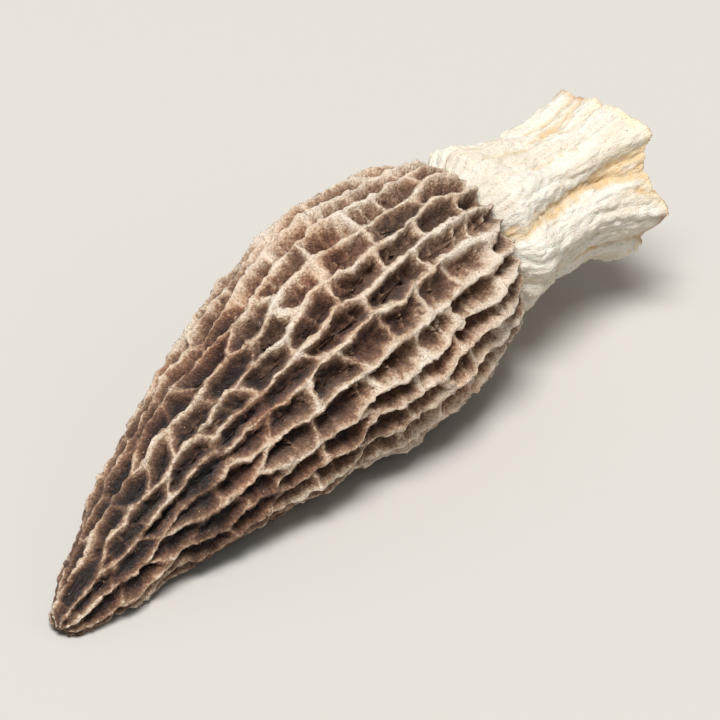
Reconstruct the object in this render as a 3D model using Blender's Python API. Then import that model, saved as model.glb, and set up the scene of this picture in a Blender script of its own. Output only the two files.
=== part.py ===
"""A dried black morel, lying on its side.

The cap and the stem grew as one hollow body, so the model is one closed solid. The cap is a pointed cone
covered by a raised net: long ribs joined by short cross-ties, with a deep pit in each mesh of the net. The
stem is short and wrinkled lengthwise, and ends in a ragged cut, where the hollow is open.

Lengths are in metres. A place on the body is given by its distance from the tip, measured along the middle
line, and by its angle round that line: 0 points to the side, a quarter turn points up.
"""

import math
import random

import bmesh
import bpy
import numpy as np
from mathutils import Matrix, Vector, noise
from mathutils.geometry import delaunay_2d_cdt

MM = 0.001
TURN = 2.0 * math.pi

# The whole body
CAP_LENGTH = 43.0 * MM
CAP_RADIUS = 8.75 * MM
STEM_LENGTH = 13.0 * MM
SIDE_BEND = 1.6 * MM
TIP_DROOP = 5.2 * MM
STEM_DROOP = 1.5 * MM
PRESSED_FLAT = 0.35 * MM

# The outline of the cap, from the tip to its lower edge, as shares of its length and of its widest radius
CAP_OUTLINE = (
    (0.00, 0.10), (0.04, 0.19), (0.15, 0.37), (0.30, 0.57), (0.45, 0.75), (0.60, 0.90), (0.77, 1.00),
    (0.88, 0.96), (0.95, 0.86), (0.985, 0.75), (1.00, 0.66),
)
# The outline of the stem: its distance from the cap's edge and its radius there
STEM_OUTLINE = (
    (0.0 * MM, 5.3 * MM), (1.2 * MM, 6.1 * MM), (3.5 * MM, 5.5 * MM), (6.5 * MM, 4.9 * MM),
    (9.5 * MM, 5.0 * MM), (13.0 * MM, 5.8 * MM),
)

# The net on the cap
WIDEST_AT = 0.77 * CAP_LENGTH
NET_TOP = 1.3 * MM
RIBS_ROUND = 24
RIBS_AT_TIP = 6
RIB_SPACING_AT_TIP = 1.5 * MM
PIT_LENGTH = 4.2 * MM
PIT_LENGTH_AT_TIP = 2.6 * MM
UNEVEN_PITS = 0.28
PIT_STRETCH = 2.5
RIB_HALF_WIDTH = 0.36 * MM
TIE_HALF_WIDTH = 0.20 * MM
PIT_DEPTH = 1.5 * MM
PIT_DEPTH_AT_TIP = 0.55 * MM
PIT_WALL_RUN = 0.30 * MM
CREST_EDGE_DEPTH = 0.10
PIT_FOOT_DEPTH = 0.88
TIP_NARROWING = 0.62
SHORTEST_EDGE = 0.5 * MM
LONGEST_EDGE = 2.2 * MM
WAVE = 0.30 * MM
WAVE_LENGTH = 1.3 * MM
COLUMN_WANDER = 0.05

# The flesh and the hollow
WALL = 1.15 * MM
WALL_AT_CAP_EDGE = 2.6 * MM
HOLLOW_TOP = 7.0 * MM
HOLLOW_CROWN = 1.2 * MM
HOLLOW_ROWS = 9

# The stem's folds and its cut end. Each fold is a count round the stem and a height.
STEM_ROWS = 8
CAP_OVERHANG = 0.35 * MM
EVEN_BELOW = 4.0 * MM
FOLDS = ((3, 0.55 * MM), (5, 0.75 * MM), (9, 0.45 * MM))
RAGGED_POINTS = 5
RAGGED_LENGTH = 1.0 * MM
RAGGED_FLARE = 0.7 * MM
LUMPS = 0.30 * MM

SEED = 11


def smooth_line(points, x):
    """Height at x of the smooth line through (x, y) points, which never swings past them."""
    xs = [p[0] for p in points]
    ys = [p[1] for p in points]
    slopes = [(ys[i + 1] - ys[i]) / (xs[i + 1] - xs[i]) for i in range(len(points) - 1)]
    lean = [slopes[0]]
    for before, after in zip(slopes, slopes[1:]):
        lean.append(0.0 if before * after <= 0.0 else 2.0 * before * after / (before + after))
    lean.append(slopes[-1])
    x = min(max(x, xs[0]), xs[-1])
    i = min(sum(1 for known in xs[1:] if known < x), len(slopes) - 1)
    span = xs[i + 1] - xs[i]
    t = (x - xs[i]) / span
    rise = t * t * (3.0 - 2.0 * t)
    start = t * (1.0 - t) ** 2 * span * lean[i]
    end = t * t * (t - 1.0) * span * lean[i + 1]
    return ys[i] * (1.0 - rise) + ys[i + 1] * rise + start + end


def blend(low, high, share):
    """The value between low and high, with share held between 0 and 1."""
    return low + (high - low) * min(max(share, 0.0), 1.0)


def middle(distance):
    """Middle line of the body: it bows to one side, and both of its ends droop."""
    share = distance / (CAP_LENGTH + STEM_LENGTH)
    bow = SIDE_BEND * 4.0 * share * (1.0 - share)
    droop = TIP_DROOP * max(1.0 - distance / CAP_LENGTH, 0.0) ** 2
    bent_from = CAP_LENGTH - 0.5 * STEM_LENGTH
    droop += STEM_DROOP * max((distance - bent_from) / (1.5 * STEM_LENGTH), 0.0) ** 2
    return Vector((distance, bow, -droop))


def axes_at(distance):
    """Directions along the middle line, to its side and up from it."""
    step = 0.1 * MM
    along = (middle(distance + step) - middle(distance - step)).normalized()
    side = along.cross(Vector((0.0, 0.0, 1.0))).normalized()
    return along, side, side.cross(along)


def roundness(distance, angle):
    """How far the shrunken body departs from a true circle, as a factor on its radius."""
    turn = angle + 9.0 * distance
    return 1.0 + 0.045 * math.cos(2.0 * turn + 0.6) + 0.022 * math.cos(3.0 * turn + 2.1)


def cap_radius(distance):
    return CAP_RADIUS * smooth_line(CAP_OUTLINE, distance / CAP_LENGTH)


def stem_radius(past_cap):
    return smooth_line(STEM_OUTLINE, past_cap)


def folds(past_cap, angle):
    """Height of the stem's lengthwise folds: round backs, and sharp creases between them."""
    depth = 0.55 + 0.45 * past_cap / STEM_LENGTH
    height = 0.0
    for count, size in FOLDS:
        wander = 0.35 * math.sin(count * 1.7 + 190.0 * past_cap) + 0.5 * math.sin(angle + count)
        height += size * (abs(math.cos(0.5 * count * angle + 1.3 * count + wander)) - 0.64)
    seat = Vector((math.cos(angle), math.sin(angle), past_cap / (4.0 * MM))) * 1.6
    return height * depth + LUMPS * noise.noise(seat)


def place(distance, angle, radius):
    """Point at this distance, angle and radius from the middle line."""
    _, side, up = axes_at(distance)
    spoke = side * math.cos(angle) + up * math.sin(angle)
    return middle(distance) + spoke * radius


def cap_point(distance, angle, depth=0.0):
    """Point on the cap, sunk square to its surface by depth."""
    along, side, up = axes_at(distance)
    spoke = side * math.cos(angle) + up * math.sin(angle)
    step = 0.2 * MM
    slope = (cap_radius(distance + step) - cap_radius(distance - step)) / (2.0 * step)
    outward = (spoke - along * slope).normalized()
    radius = cap_radius(distance) * roundness(distance, angle)
    return middle(distance) + spoke * radius - outward * depth


class Unrolled:
    """The cap rolled out flat, so that small shapes keep their form: angle across, height up.

    Lengths along the cap are pressed together by PIT_STRETCH, so that evenly spread points give long pits.
    """

    def __init__(self, steps=400):
        self.distances = np.linspace(NET_TOP, CAP_LENGTH, steps)
        radii = np.array([cap_radius(d) for d in self.distances])
        rates = 1.0 / (PIT_STRETCH * radii)
        between = 0.5 * (rates[1:] + rates[:-1]) * np.diff(self.distances)
        self.heights = np.concatenate(([0.0], np.cumsum(between)))

    def height(self, distance):
        return float(np.interp(distance, self.distances, self.heights))

    def distance(self, height):
        return float(np.interp(height, self.heights, self.distances))


def ribs_at(distance):
    """Number of columns of pits round the cap, fewer where it narrows to the tip."""
    if distance >= WIDEST_AT:
        return RIBS_ROUND
    widest_spacing = TURN * CAP_RADIUS / RIBS_ROUND
    spacing = blend(RIB_SPACING_AT_TIP, widest_spacing, distance / WIDEST_AT)
    return min(max(TURN * cap_radius(distance) / spacing, RIBS_AT_TIP), RIBS_ROUND)


def column_weights(distance):
    """Share of the girth that each column of pits takes. One that ends narrows away between its neighbours."""
    count = ribs_at(distance)
    golden = 0.618034
    order = sorted(range(RIBS_ROUND), key=lambda column: (column * golden) % 1.0)
    rank = {column: place_in_line for place_in_line, column in enumerate(order)}
    return [min(max(count - rank[column] + 0.5, 0.0), 1.0) for column in range(RIBS_ROUND)]


def column_angle(distance, column):
    """Angle of the middle of a column, with its sideways wander."""
    weights = column_weights(distance)
    shares = np.cumsum([0.0] + weights) / sum(weights)
    centres = 0.5 * (shares[1:] + shares[:-1])
    even = (np.arange(RIBS_ROUND) + 0.5) / RIBS_ROUND
    drift = float(np.mean(centres - even))
    wander = COLUMN_WANDER * noise.noise(Vector((distance / (9.0 * MM), column * 0.8, 3.7)))
    return TURN * (centres[column] - drift) + wander


def pit_centres(unrolled, rng):
    """Middle of each pit: down every column at uneven steps, so that the cross-ties don't line up."""
    centres = []
    for column in range(RIBS_ROUND):
        distance = CAP_LENGTH - rng.uniform(0.25, 0.75) * PIT_LENGTH
        while distance > NET_TOP + 0.3 * PIT_LENGTH_AT_TIP:
            if column_weights(distance)[column] < 0.5:
                break
            centres.append((column_angle(distance, column), unrolled.height(distance)))
            pit = blend(PIT_LENGTH_AT_TIP, PIT_LENGTH, distance / (0.7 * CAP_LENGTH))
            distance -= pit * rng.uniform(1.0 - UNEVEN_PITS, 1.0 + UNEVEN_PITS)
    return centres


def circle_centre(a, b, c):
    """Centre of the circle through three points of the flat plan."""
    bx, by, cx, cy = b[0] - a[0], b[1] - a[1], c[0] - a[0], c[1] - a[1]
    twice_area = 2.0 * (bx * cy - by * cx)
    ux = (cy * (bx * bx + by * by) - by * (cx * cx + cy * cy)) / twice_area
    uy = (bx * (cx * cx + cy * cy) - cx * (bx * bx + by * by)) / twice_area
    return a[0] + ux, a[1] + uy


def net_cells(unrolled, centres):
    """Outline of each mesh of the net, as the ground nearer to its own pit than to any other.

    The plan is repeated once round to each side, and mirrored past both ends, which makes the ends straight.
    """
    top, bottom = unrolled.heights[0], unrolled.heights[-1]
    copies = []
    for turn in (0, -1, 1):
        for flip in (None, top, bottom):
            for angle, height in centres:
                copies.append((angle + turn * TURN, height if flip is None else 2.0 * flip - height))
    points, _, triangles, origins, _, _ = delaunay_2d_cdt([Vector(p) for p in copies], [], [], 0, 1e-9)
    own = {}
    for index, sources in enumerate(origins):
        if sources and sources[0] < len(centres):
            own[index] = sources[0]
    corners = {index: [] for index in own}
    for triangle in triangles:
        if any(index in own for index in triangle):
            centre = circle_centre(*(points[index] for index in triangle))
            for index in triangle:
                if index in own:
                    corners[index].append(centre)
    cells = []
    for index, found in corners.items():
        x, y = points[index]
        cells.append(sorted(found, key=lambda corner: math.atan2(corner[1] - y, corner[0] - x)))
    return cells


class Net:
    """The net as shared corners and closed outlines, with every short edge drawn together."""

    def __init__(self, unrolled, cells):
        self.unrolled = unrolled
        self.corners = []
        self.outlines = []
        self.halfway = {}
        for cell in cells:
            self.outlines.append([self.corner(*corner) for corner in cell])
        self.draw_together()

    def gap(self, a, b):
        """Distance over the cap between two places of the flat plan."""
        radius = cap_radius(self.unrolled.distance(0.5 * (a[1] + b[1])))
        across = (a[0] - b[0] + math.pi) % TURN - math.pi
        return radius * math.hypot(across, PIT_STRETCH * (a[1] - b[1]))

    def corner(self, angle, height):
        """Number of the corner at this place, a new one unless one is already there."""
        here = (angle % TURN, height)
        for number, known in enumerate(self.corners):
            if abs(known[1] - height) < 1e-3 and self.gap(known, here) < 0.02 * MM:
                return number
        self.corners.append(here)
        return len(self.corners) - 1

    def on_end(self, number):
        height = self.corners[number][1]
        return abs(height - self.unrolled.heights[0]) < 1e-6 or abs(height - self.unrolled.heights[-1]) < 1e-6

    def draw_together(self):
        """Joins the two corners of each edge that is too short to carry a rib."""
        joined = list(range(len(self.corners)))
        for outline in self.outlines:
            for a, b in zip(outline, outline[1:] + outline[:1]):
                a, b = joined[a], joined[b]
                if a != b and self.gap(self.corners[a], self.corners[b]) < SHORTEST_EDGE:
                    keep, drop = (b, a) if self.on_end(b) and not self.on_end(a) else (a, b)
                    if self.on_end(drop) == self.on_end(keep):
                        across = (self.corners[drop][0] - self.corners[keep][0] + math.pi) % TURN - math.pi
                        height = 0.5 * (self.corners[keep][1] + self.corners[drop][1])
                        self.corners[keep] = ((self.corners[keep][0] + 0.5 * across) % TURN, height)
                    joined = [keep if number == drop else number for number in joined]
        for i, outline in enumerate(self.outlines):
            kept = []
            for number in outline:
                if joined[number] not in kept:
                    kept.append(joined[number])
            self.outlines[i] = kept

    def waves(self, number):
        """Small sideways shift of a corner, which makes the ribs waver."""
        angle, height = self.corners[number]
        if self.on_end(number):
            return angle, height
        distance = self.unrolled.distance(height)
        radius = cap_radius(distance)
        seat = Vector((math.cos(angle) * radius, math.sin(angle) * radius, distance)) / WAVE_LENGTH
        across = noise.noise(seat)
        upward = noise.noise(seat + Vector((17.3, 5.1, 9.7)))
        return angle + WAVE * across / radius, height + WAVE * upward / (radius * PIT_STRETCH)

    def split(self, a, b):
        """Corner halfway along an edge that is long, or None."""
        first, last = self.corners[a], self.corners[b]
        if self.gap(first, last) < LONGEST_EDGE and not (self.on_end(a) and self.on_end(b)):
            return None
        key = (min(a, b), max(a, b))
        if key not in self.halfway:
            across = (last[0] - first[0] + math.pi) % TURN - math.pi
            self.corners.append(((first[0] + 0.5 * across) % TURN, 0.5 * (first[1] + last[1])))
            self.halfway[key] = len(self.corners) - 1
        return self.halfway[key]

    def split_long_edges(self):
        """Gives every long edge a corner halfway, shared by the outlines on both sides of it."""
        for i, outline in enumerate(self.outlines):
            longer = []
            for a, b in zip(outline, outline[1:] + outline[:1]):
                longer.append(a)
                between = self.split(a, b)
                if between is not None:
                    longer.append(between)
            self.outlines[i] = longer

    def ring_at(self, height):
        """Corners along one end of the net, in order round the cap."""
        found = {n for outline in self.outlines for n in outline if abs(self.corners[n][1] - height) < 1e-6}
        return sorted(found, key=lambda number: self.corners[number][0])


def inset(plan, radius, narrow, wall_run):
    """A pit's outline in the flat plan, drawn in from the middle of its ribs and ties to the foot of its wall.

    Ribs run up the plan and are broad, ties run across it and are slim. Tight corners move in less.
    """
    count = len(plan)
    flat = [Vector((angle * radius, height * radius * PIT_STRETCH)) for angle, height in plan]
    heart = sum(flat, Vector((0.0, 0.0))) / count
    ways = [(flat[(i + 1) % count] - corner).normalized() for i, corner in enumerate(flat)]
    widths = [narrow * (blend(RIB_HALF_WIDTH, TIE_HALF_WIDTH, abs(way.x)) + wall_run) for way in ways]
    drawn = []
    for i, corner in enumerate(flat):
        before, after = ways[i - 1], ways[i]
        turn = before.x * after.y - before.y * after.x
        if turn > 0.35:
            move = (after * widths[i - 1] - before * widths[i]) / turn
        else:
            square = Vector((-before.y - after.y, before.x + after.x)).normalized()
            move = square * 0.5 * (widths[i - 1] + widths[i])
        move = move.lerp(heart - corner, 0.08)
        room = 0.66 * (heart - corner).length
        if move.length > room:
            move = (heart - corner) * 0.66
        moved = corner + move
        drawn.append((moved.x / radius, moved.y / (radius * PIT_STRETCH)))
    return drawn


def pit_depth(distance):
    return blend(PIT_DEPTH_AT_TIP, PIT_DEPTH, distance / (0.5 * CAP_LENGTH))


class Body:
    """Collects the points and faces of the one closed surface."""

    def __init__(self):
        self.mesh = bmesh.new()

    def point(self, place_in_space):
        return self.mesh.verts.new(place_in_space)

    def face(self, corners, material):
        """One face through these points, leaving out a point that comes twice."""
        kept = [corner for i, corner in enumerate(corners) if corner is not corners[i - 1]]
        if len(set(kept)) >= 3:
            made = self.mesh.faces.new(kept)
            made.material_index = material

    def band(self, first, second, material):
        """Band of faces between two closed rings of as many points."""
        count = len(first)
        for i in range(count):
            j = (i + 1) % count
            self.face((first[i], first[j], second[j]), material)
            self.face((first[i], second[j], second[i]), material)

    def fan(self, ring, tip, material):
        """Closes a ring with triangles that meet at one point."""
        for i, corner in enumerate(ring):
            self.face((corner, ring[(i + 1) % len(ring)], tip), material)


CAP, STEM, HOLLOW = range(3)


def raise_net(body, net):
    """Builds the cap's outside: the crests of the net, and a pit sunk in each of its meshes."""
    crest = {}
    for number in sorted({n for outline in net.outlines for n in outline}):
        angle, height = net.waves(number)
        crest[number] = body.point(cap_point(net.unrolled.distance(height), angle))
    for outline in net.outlines:
        plan = []
        start = net.waves(outline[0])[0]
        for number in outline:
            angle, height = net.waves(number)
            plan.append((start + (angle - start + math.pi) % TURN - math.pi, height))
        heart_height = sum(height for _, height in plan) / len(plan)
        heart_angle = sum(angle for angle, _ in plan) / len(plan)
        distance = net.unrolled.distance(heart_height)
        radius = cap_radius(distance)
        depth = pit_depth(distance)
        narrow = blend(TIP_NARROWING, 1.0, distance / (0.4 * CAP_LENGTH))
        rings = [[crest[number] for number in outline]]
        for wall_run, share in ((0.0, CREST_EDGE_DEPTH), (PIT_WALL_RUN, PIT_FOOT_DEPTH)):
            ring = []
            for angle, height in inset(plan, radius, narrow, wall_run):
                ring.append(body.point(cap_point(net.unrolled.distance(height), angle, depth * share)))
            rings.append(ring)
        body.band(rings[0], rings[1], CAP)
        body.band(rings[1], rings[2], CAP)
        body.fan(rings[2], body.point(cap_point(distance, heart_angle, depth)), CAP)
    return crest


def close_tip(body, net, crest):
    """Blunt nub that ends the cap."""
    ends = net.ring_at(net.unrolled.heights[0])
    outer = [crest[number] for number in ends]
    shoulder = 0.62 * cap_radius(NET_TOP)
    inner = [body.point(place(0.45 * NET_TOP, net.corners[number][0], shoulder)) for number in ends]
    body.band(outer, inner, CAP)
    body.fan(inner, body.point(middle(0.2 * NET_TOP)), CAP)


def ragged_edge(angle, phase):
    """How far the stem's cut end is torn out, from 0 between two torn points to 1 at the longest."""
    beat = RAGGED_POINTS * angle + 1.3 * math.sin(angle + phase) + phase
    tall = 0.7 + 0.3 * math.sin(2.0 * angle + 2.0 * phase)
    return tall * (0.5 + 0.5 * math.cos(beat)) ** 1.6


def stem_rings(net, phase, inner):
    """Rings of the stem from the cap's edge to the cut end, on its outside or on the wall of its hollow."""
    edge = [net.corners[number][0] for number in net.ring_at(net.unrolled.heights[-1])]
    count = len(edge)
    drift = sum(edge[i] - TURN * i / count for i in range(count)) / count
    rings = []
    for row in range(STEM_ROWS + 1):
        past = STEM_LENGTH * row / STEM_ROWS
        ring = []
        for i in range(count):
            angle = blend(edge[i], TURN * i / count + drift, past / EVEN_BELOW)
            near_cut = (past / STEM_LENGTH) ** 4
            torn = ragged_edge(angle, phase) * near_cut
            radius = stem_radius(past) + folds(past, angle) + RAGGED_FLARE * torn
            if inner:
                radius -= WALL * (1.0 - 0.25 * near_cut)
            reach = CAP_LENGTH + CAP_OVERHANG + past + RAGGED_LENGTH * (torn - 0.4 * near_cut)
            ring.append(place(reach, angle, radius))
        rings.append(ring)
    return rings


def grow_stem(body, net, crest, phase):
    """Builds the stem's outside, its cut end and its hollow's wall, and gives the last ring of that wall."""
    last = [crest[number] for number in net.ring_at(net.unrolled.heights[-1])]
    for row in stem_rings(net, phase, inner=False):
        ring = [body.point(spot) for spot in row]
        body.band(last, ring, STEM)
        last = ring
    for row in reversed(stem_rings(net, phase, inner=True)[1:]):
        ring = [body.point(spot) for spot in row]
        body.band(last, ring, HOLLOW)
        last = ring
    return last


def hollow_cap(body, net, last):
    """Carries the hollow on up into the cap, at an even wall behind the pits, and closes it near the tip."""
    edge = [net.corners[number][0] for number in net.ring_at(net.unrolled.heights[-1])]
    lower = CAP_LENGTH - WALL
    for row in range(HOLLOW_ROWS):
        distance = blend(lower, HOLLOW_TOP, row / (HOLLOW_ROWS - 1))
        behind_edge = 1.0 - (lower - distance) / EVEN_BELOW
        reach_in = blend(pit_depth(distance) + WALL, WALL_AT_CAP_EDGE, behind_edge)
        radius = cap_radius(distance) - reach_in
        angles = edge if row == 0 else edge[::2]
        ring = [body.point(place(distance, a, radius * roundness(distance, a))) for a in angles]
        if len(ring) == len(last):
            body.band(last, ring, HOLLOW)
        else:
            for i, corner in enumerate(ring):
                after = ring[(i + 1) % len(ring)]
                a, b, c = last[2 * i], last[2 * i + 1], last[(2 * i + 2) % len(last)]
                body.face((a, b, corner), HOLLOW)
                body.face((b, after, corner), HOLLOW)
                body.face((b, c, after), HOLLOW)
        last = ring
    body.fan(last, body.point(middle(HOLLOW_TOP - HOLLOW_CROWN)), HOLLOW)


def rest_tilt(mesh):
    """Angle to raise the stem by, so that the tip and the belly of the cap touch the ground together."""
    spots = np.array([corner.co for corner in mesh.verts])
    tip = spots[spots[:, 0] < 0.15 * CAP_LENGTH]
    belly = spots[(spots[:, 0] > 0.6 * CAP_LENGTH) & (spots[:, 0] < CAP_LENGTH)]
    low, high = 0.0, math.radians(25.0)
    for _ in range(30):
        tilt = 0.5 * (low + high)
        down = np.array((math.sin(tilt), 0.0, math.cos(tilt)))
        if (tip @ down).min() > (belly @ down).min():
            low = tilt
        else:
            high = tilt
    return tilt


def lay_down(mesh):
    """Turns the body to its rest, presses its lowest crests flat and centres it over the origin."""
    bmesh.ops.transform(mesh, matrix=Matrix.Rotation(-rest_tilt(mesh), 4, "Y"), verts=mesh.verts)
    floor = min(corner.co.z for corner in mesh.verts) + PRESSED_FLAT
    for corner in mesh.verts:
        corner.co.z = max(corner.co.z, floor)
    low = [min(corner.co[axis] for corner in mesh.verts) for axis in range(3)]
    high = [max(corner.co[axis] for corner in mesh.verts) for axis in range(3)]
    shift = Vector((-0.5 * (low[0] + high[0]), -0.5 * (low[1] + high[1]), -floor))
    bmesh.ops.translate(mesh, verts=mesh.verts, vec=shift)


def material(name, colour, roughness):
    """Principled material in one colour, given as linear red, green and blue."""
    made = bpy.data.materials.new(name)
    made.use_nodes = True
    shader = made.node_tree.nodes["Principled BSDF"]
    shader.inputs["Base Color"].default_value = (*colour, 1.0)
    shader.inputs["Roughness"].default_value = roughness
    shader.inputs["Metallic"].default_value = 0.0
    return made


def main():
    for thing in list(bpy.data.objects):
        bpy.data.objects.remove(thing, do_unlink=True)
    rng = random.Random(SEED)
    unrolled = Unrolled()
    net = Net(unrolled, net_cells(unrolled, pit_centres(unrolled, rng)))
    net.split_long_edges()
    phase = rng.uniform(0.0, TURN)

    body = Body()
    crest = raise_net(body, net)
    close_tip(body, net, crest)
    hollow_cap(body, net, grow_stem(body, net, crest, phase))
    lay_down(body.mesh)
    bmesh.ops.recalc_face_normals(body.mesh, faces=body.mesh.faces)

    data = bpy.data.meshes.new("morel")
    body.mesh.to_mesh(data)
    body.mesh.free()
    data.materials.append(material("dried cap", (0.060, 0.040, 0.030), 0.85))
    data.materials.append(material("dried stem", (0.80, 0.68, 0.50), 0.90))
    data.materials.append(material("wall of the hollow", (0.30, 0.15, 0.06), 0.90))
    data.shade_smooth()
    data.set_sharp_from_angle(angle=math.radians(50.0))
    morel = bpy.data.objects.new("morel", data)
    bpy.context.scene.collection.objects.link(morel)


main()
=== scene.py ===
"""A dried black morel, lying on its side on a pale floor.

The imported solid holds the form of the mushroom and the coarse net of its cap. This script grows the same form
from the same sizes and the same seeded draws, and gives it the fine surface: ribs that waver and run on
through the knots of the net, cross-ties that sag between them, creased pits, a wrinkled stem with a torn end.

Lengths are in metres. A place on the body is given by its distance from the tip, measured along the middle
line, and by its angle round that line: 0 points to the side, a quarter turn points up.
"""

import logging
import math
import random
from dataclasses import dataclass, field
from enum import Enum

import bmesh
import bpy
import numpy as np
from mathutils import Matrix, Vector, noise
from mathutils.geometry import delaunay_2d_cdt


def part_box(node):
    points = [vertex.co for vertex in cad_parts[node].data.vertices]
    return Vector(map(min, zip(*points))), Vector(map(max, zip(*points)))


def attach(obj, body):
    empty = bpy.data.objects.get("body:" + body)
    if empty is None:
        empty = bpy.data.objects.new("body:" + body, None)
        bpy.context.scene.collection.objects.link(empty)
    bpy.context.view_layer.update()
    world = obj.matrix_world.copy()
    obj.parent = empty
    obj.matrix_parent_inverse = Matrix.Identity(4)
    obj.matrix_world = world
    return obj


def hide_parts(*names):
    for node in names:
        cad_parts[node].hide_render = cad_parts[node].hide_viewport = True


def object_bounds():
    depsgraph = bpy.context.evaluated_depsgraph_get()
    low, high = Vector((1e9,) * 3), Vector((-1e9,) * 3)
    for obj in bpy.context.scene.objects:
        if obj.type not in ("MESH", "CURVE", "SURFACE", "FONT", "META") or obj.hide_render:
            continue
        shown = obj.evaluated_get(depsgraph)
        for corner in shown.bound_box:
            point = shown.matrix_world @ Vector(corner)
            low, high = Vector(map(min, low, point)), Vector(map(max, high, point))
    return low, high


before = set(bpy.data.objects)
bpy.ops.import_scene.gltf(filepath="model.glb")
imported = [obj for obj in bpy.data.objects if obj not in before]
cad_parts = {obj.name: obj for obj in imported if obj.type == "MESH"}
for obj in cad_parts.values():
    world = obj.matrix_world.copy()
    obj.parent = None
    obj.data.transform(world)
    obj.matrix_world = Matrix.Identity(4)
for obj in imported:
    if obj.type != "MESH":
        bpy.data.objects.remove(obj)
CAD_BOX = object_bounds()

LOG = logging.getLogger("morel")
Array = np.ndarray
Place = tuple[float, float]
Span = tuple[float, float]
Triple = tuple[float, float, float]
Vein = tuple[Array, Array, float]

MM = 0.001
TURN = 2.0 * math.pi
# Heights in the net's flat plan that differ by less than this are the same.
SAME_HEIGHT = 1e-6
# The pits' tones are drawn between 0 and 1. The crests, the turned edge and the hollow have this one.
MEAN_TONE = 0.5
NODE = "morel"
BODY = "root"
SEED = 11


def linear(colour: str) -> tuple[float, float, float, float]:
    """Turns an sRGB hex colour into linear red, green, blue and full alpha.

    Args:
        colour: The colour as "#rrggbb".

    Returns:
        The four values that a colour socket takes.
    """
    shares = [int(colour[i:i + 2], 16) / 255.0 for i in (1, 3, 5)]
    bent = [s / 12.92 if s <= 0.04045 else ((s + 0.055) / 1.055) ** 2.4 for s in shares]
    return (*bent, 1.0)


def blend(low: float | Array, high: float | Array, share: float | Array) -> float | Array:
    """Value between low and high, with share held between 0 and 1."""
    return low + (high - low) * np.clip(share, 0.0, 1.0)


def ease(low: float, high: float, x: float | Array) -> float | Array:
    """Smooth rise from 0 at low to 1 at high."""
    t = np.clip((x - low) / (high - low), 0.0, 1.0)
    return t * t * (3.0 - 2.0 * t)


def wrap(angle: float | Array) -> float | Array:
    """The same angle, between minus and plus half a turn."""
    return (angle + math.pi) % TURN - math.pi


def around(items: list) -> zip:
    """Each item with the next one, and the last with the first."""
    return zip(items, items[1:] + items[:1])


@dataclass(frozen=True)
class Ripple:
    """Smooth random heights over places in space, mostly between minus and plus half of its height.

    They change over its length. Its shift tells it from other ripples, and where along is under 1 it is drawn
    out lengthwise.
    """

    height: float
    length: float
    shift: float = 0.0
    along: float = 1.0

    def shares(self, seats: Array) -> Array:
        """The random values themselves, one for each row of seats."""
        spots = seats * (1.0, 1.0, self.along) / self.length + self.shift
        return np.array([noise.noise(spot) for spot in spots.tolist()])

    def at(self, seats: Array) -> Array:
        """The height at each place."""
        return self.height * self.shares(seats)

    def creased(self, seats: Array, level: float, gain: float = 1.0) -> Array:
        """Round backs with sharp creases between them.

        Args:
            seats: Places in space, one row each.
            level: How far all of it is lowered, as a share of the height.
            gain: Steepness of the backs.

        Returns:
            The height at each place.
        """
        return self.height * (np.abs(self.shares(seats)) * gain - level)


def add(tree: bpy.types.NodeTree, kind: str, links: dict | None = None, **settings: object) -> bpy.types.Node:
    """Adds a node to a tree.

    Args:
        tree: The material's, world's or geometry tree.
        kind: Blender's name for the node.
        links: For each input, by name or number, what feeds it: a node, by its first live output, one
            output of a node, a hex colour or any other value.
        settings: The node's properties. "stops" holds a colour ramp's places and hex colours.

    Returns:
        The new node.
    """
    node = tree.nodes.new(kind)
    for name, value in settings.items():
        if name == "stops":
            ramp = node.color_ramp.elements
            while len(ramp) < len(value):
                ramp.new(1.0)
            for stop, (where, colour) in zip(ramp, value):
                stop.position = where
                stop.color = linear(colour)
        else:
            setattr(node, name, value)
    for name, source in (links or {}).items():
        if isinstance(source, bpy.types.Node):
            source = next(output for output in source.outputs if output.enabled)
        if isinstance(source, bpy.types.NodeSocket):
            tree.links.new(source, node.inputs[name])
        else:
            is_colour = isinstance(source, str) and source.startswith("#")
            node.inputs[name].default_value = linear(source) if is_colour else source
    return node


def new_object(name: str, data: bpy.types.ID) -> bpy.types.Object:
    """New object in the scene, at the origin.

    Args:
        name: Name of the object.
        data: Its mesh, lamp or camera.

    Returns:
        The object.
    """
    made = bpy.data.objects.new(name, data)
    bpy.context.scene.collection.objects.link(made)
    return made


class SmoothLine:
    """Smooth line through a few (x, y) points, which never swings past them."""

    def __init__(self, points: tuple[Place, ...]) -> None:
        """Works out the line's slope at each point.

        Args:
            points: The points, from left to right.
        """
        self.xs, self.ys = (np.array(values) for values in zip(*points))
        slopes = np.diff(self.ys) / np.diff(self.xs)
        before, after = slopes[:-1], slopes[1:]
        same_way = before * after > 0.0
        lean = np.where(same_way, 2.0 * before * after / np.where(same_way, before + after, 1.0), 0.0)
        self.lean = np.concatenate((slopes[:1], lean, slopes[-1:]))

    def at(self, x: float | Array) -> float | Array:
        """Height of the line at x.

        Args:
            x: Where to read it. Past its ends it runs on level.

        Returns:
            The height.
        """
        x = np.clip(x, self.xs[0], self.xs[-1])
        i = np.minimum(np.searchsorted(self.xs[1:], x), len(self.xs) - 2)
        span = self.xs[i + 1] - self.xs[i]
        t = (x - self.xs[i]) / span
        rise = t * t * (3.0 - 2.0 * t)
        start = t * (1.0 - t) ** 2 * span * self.lean[i]
        end = t * t * (t - 1.0) * span * self.lean[i + 1]
        return self.ys[i] * (1.0 - rise) + self.ys[i + 1] * rise + start + end


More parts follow.
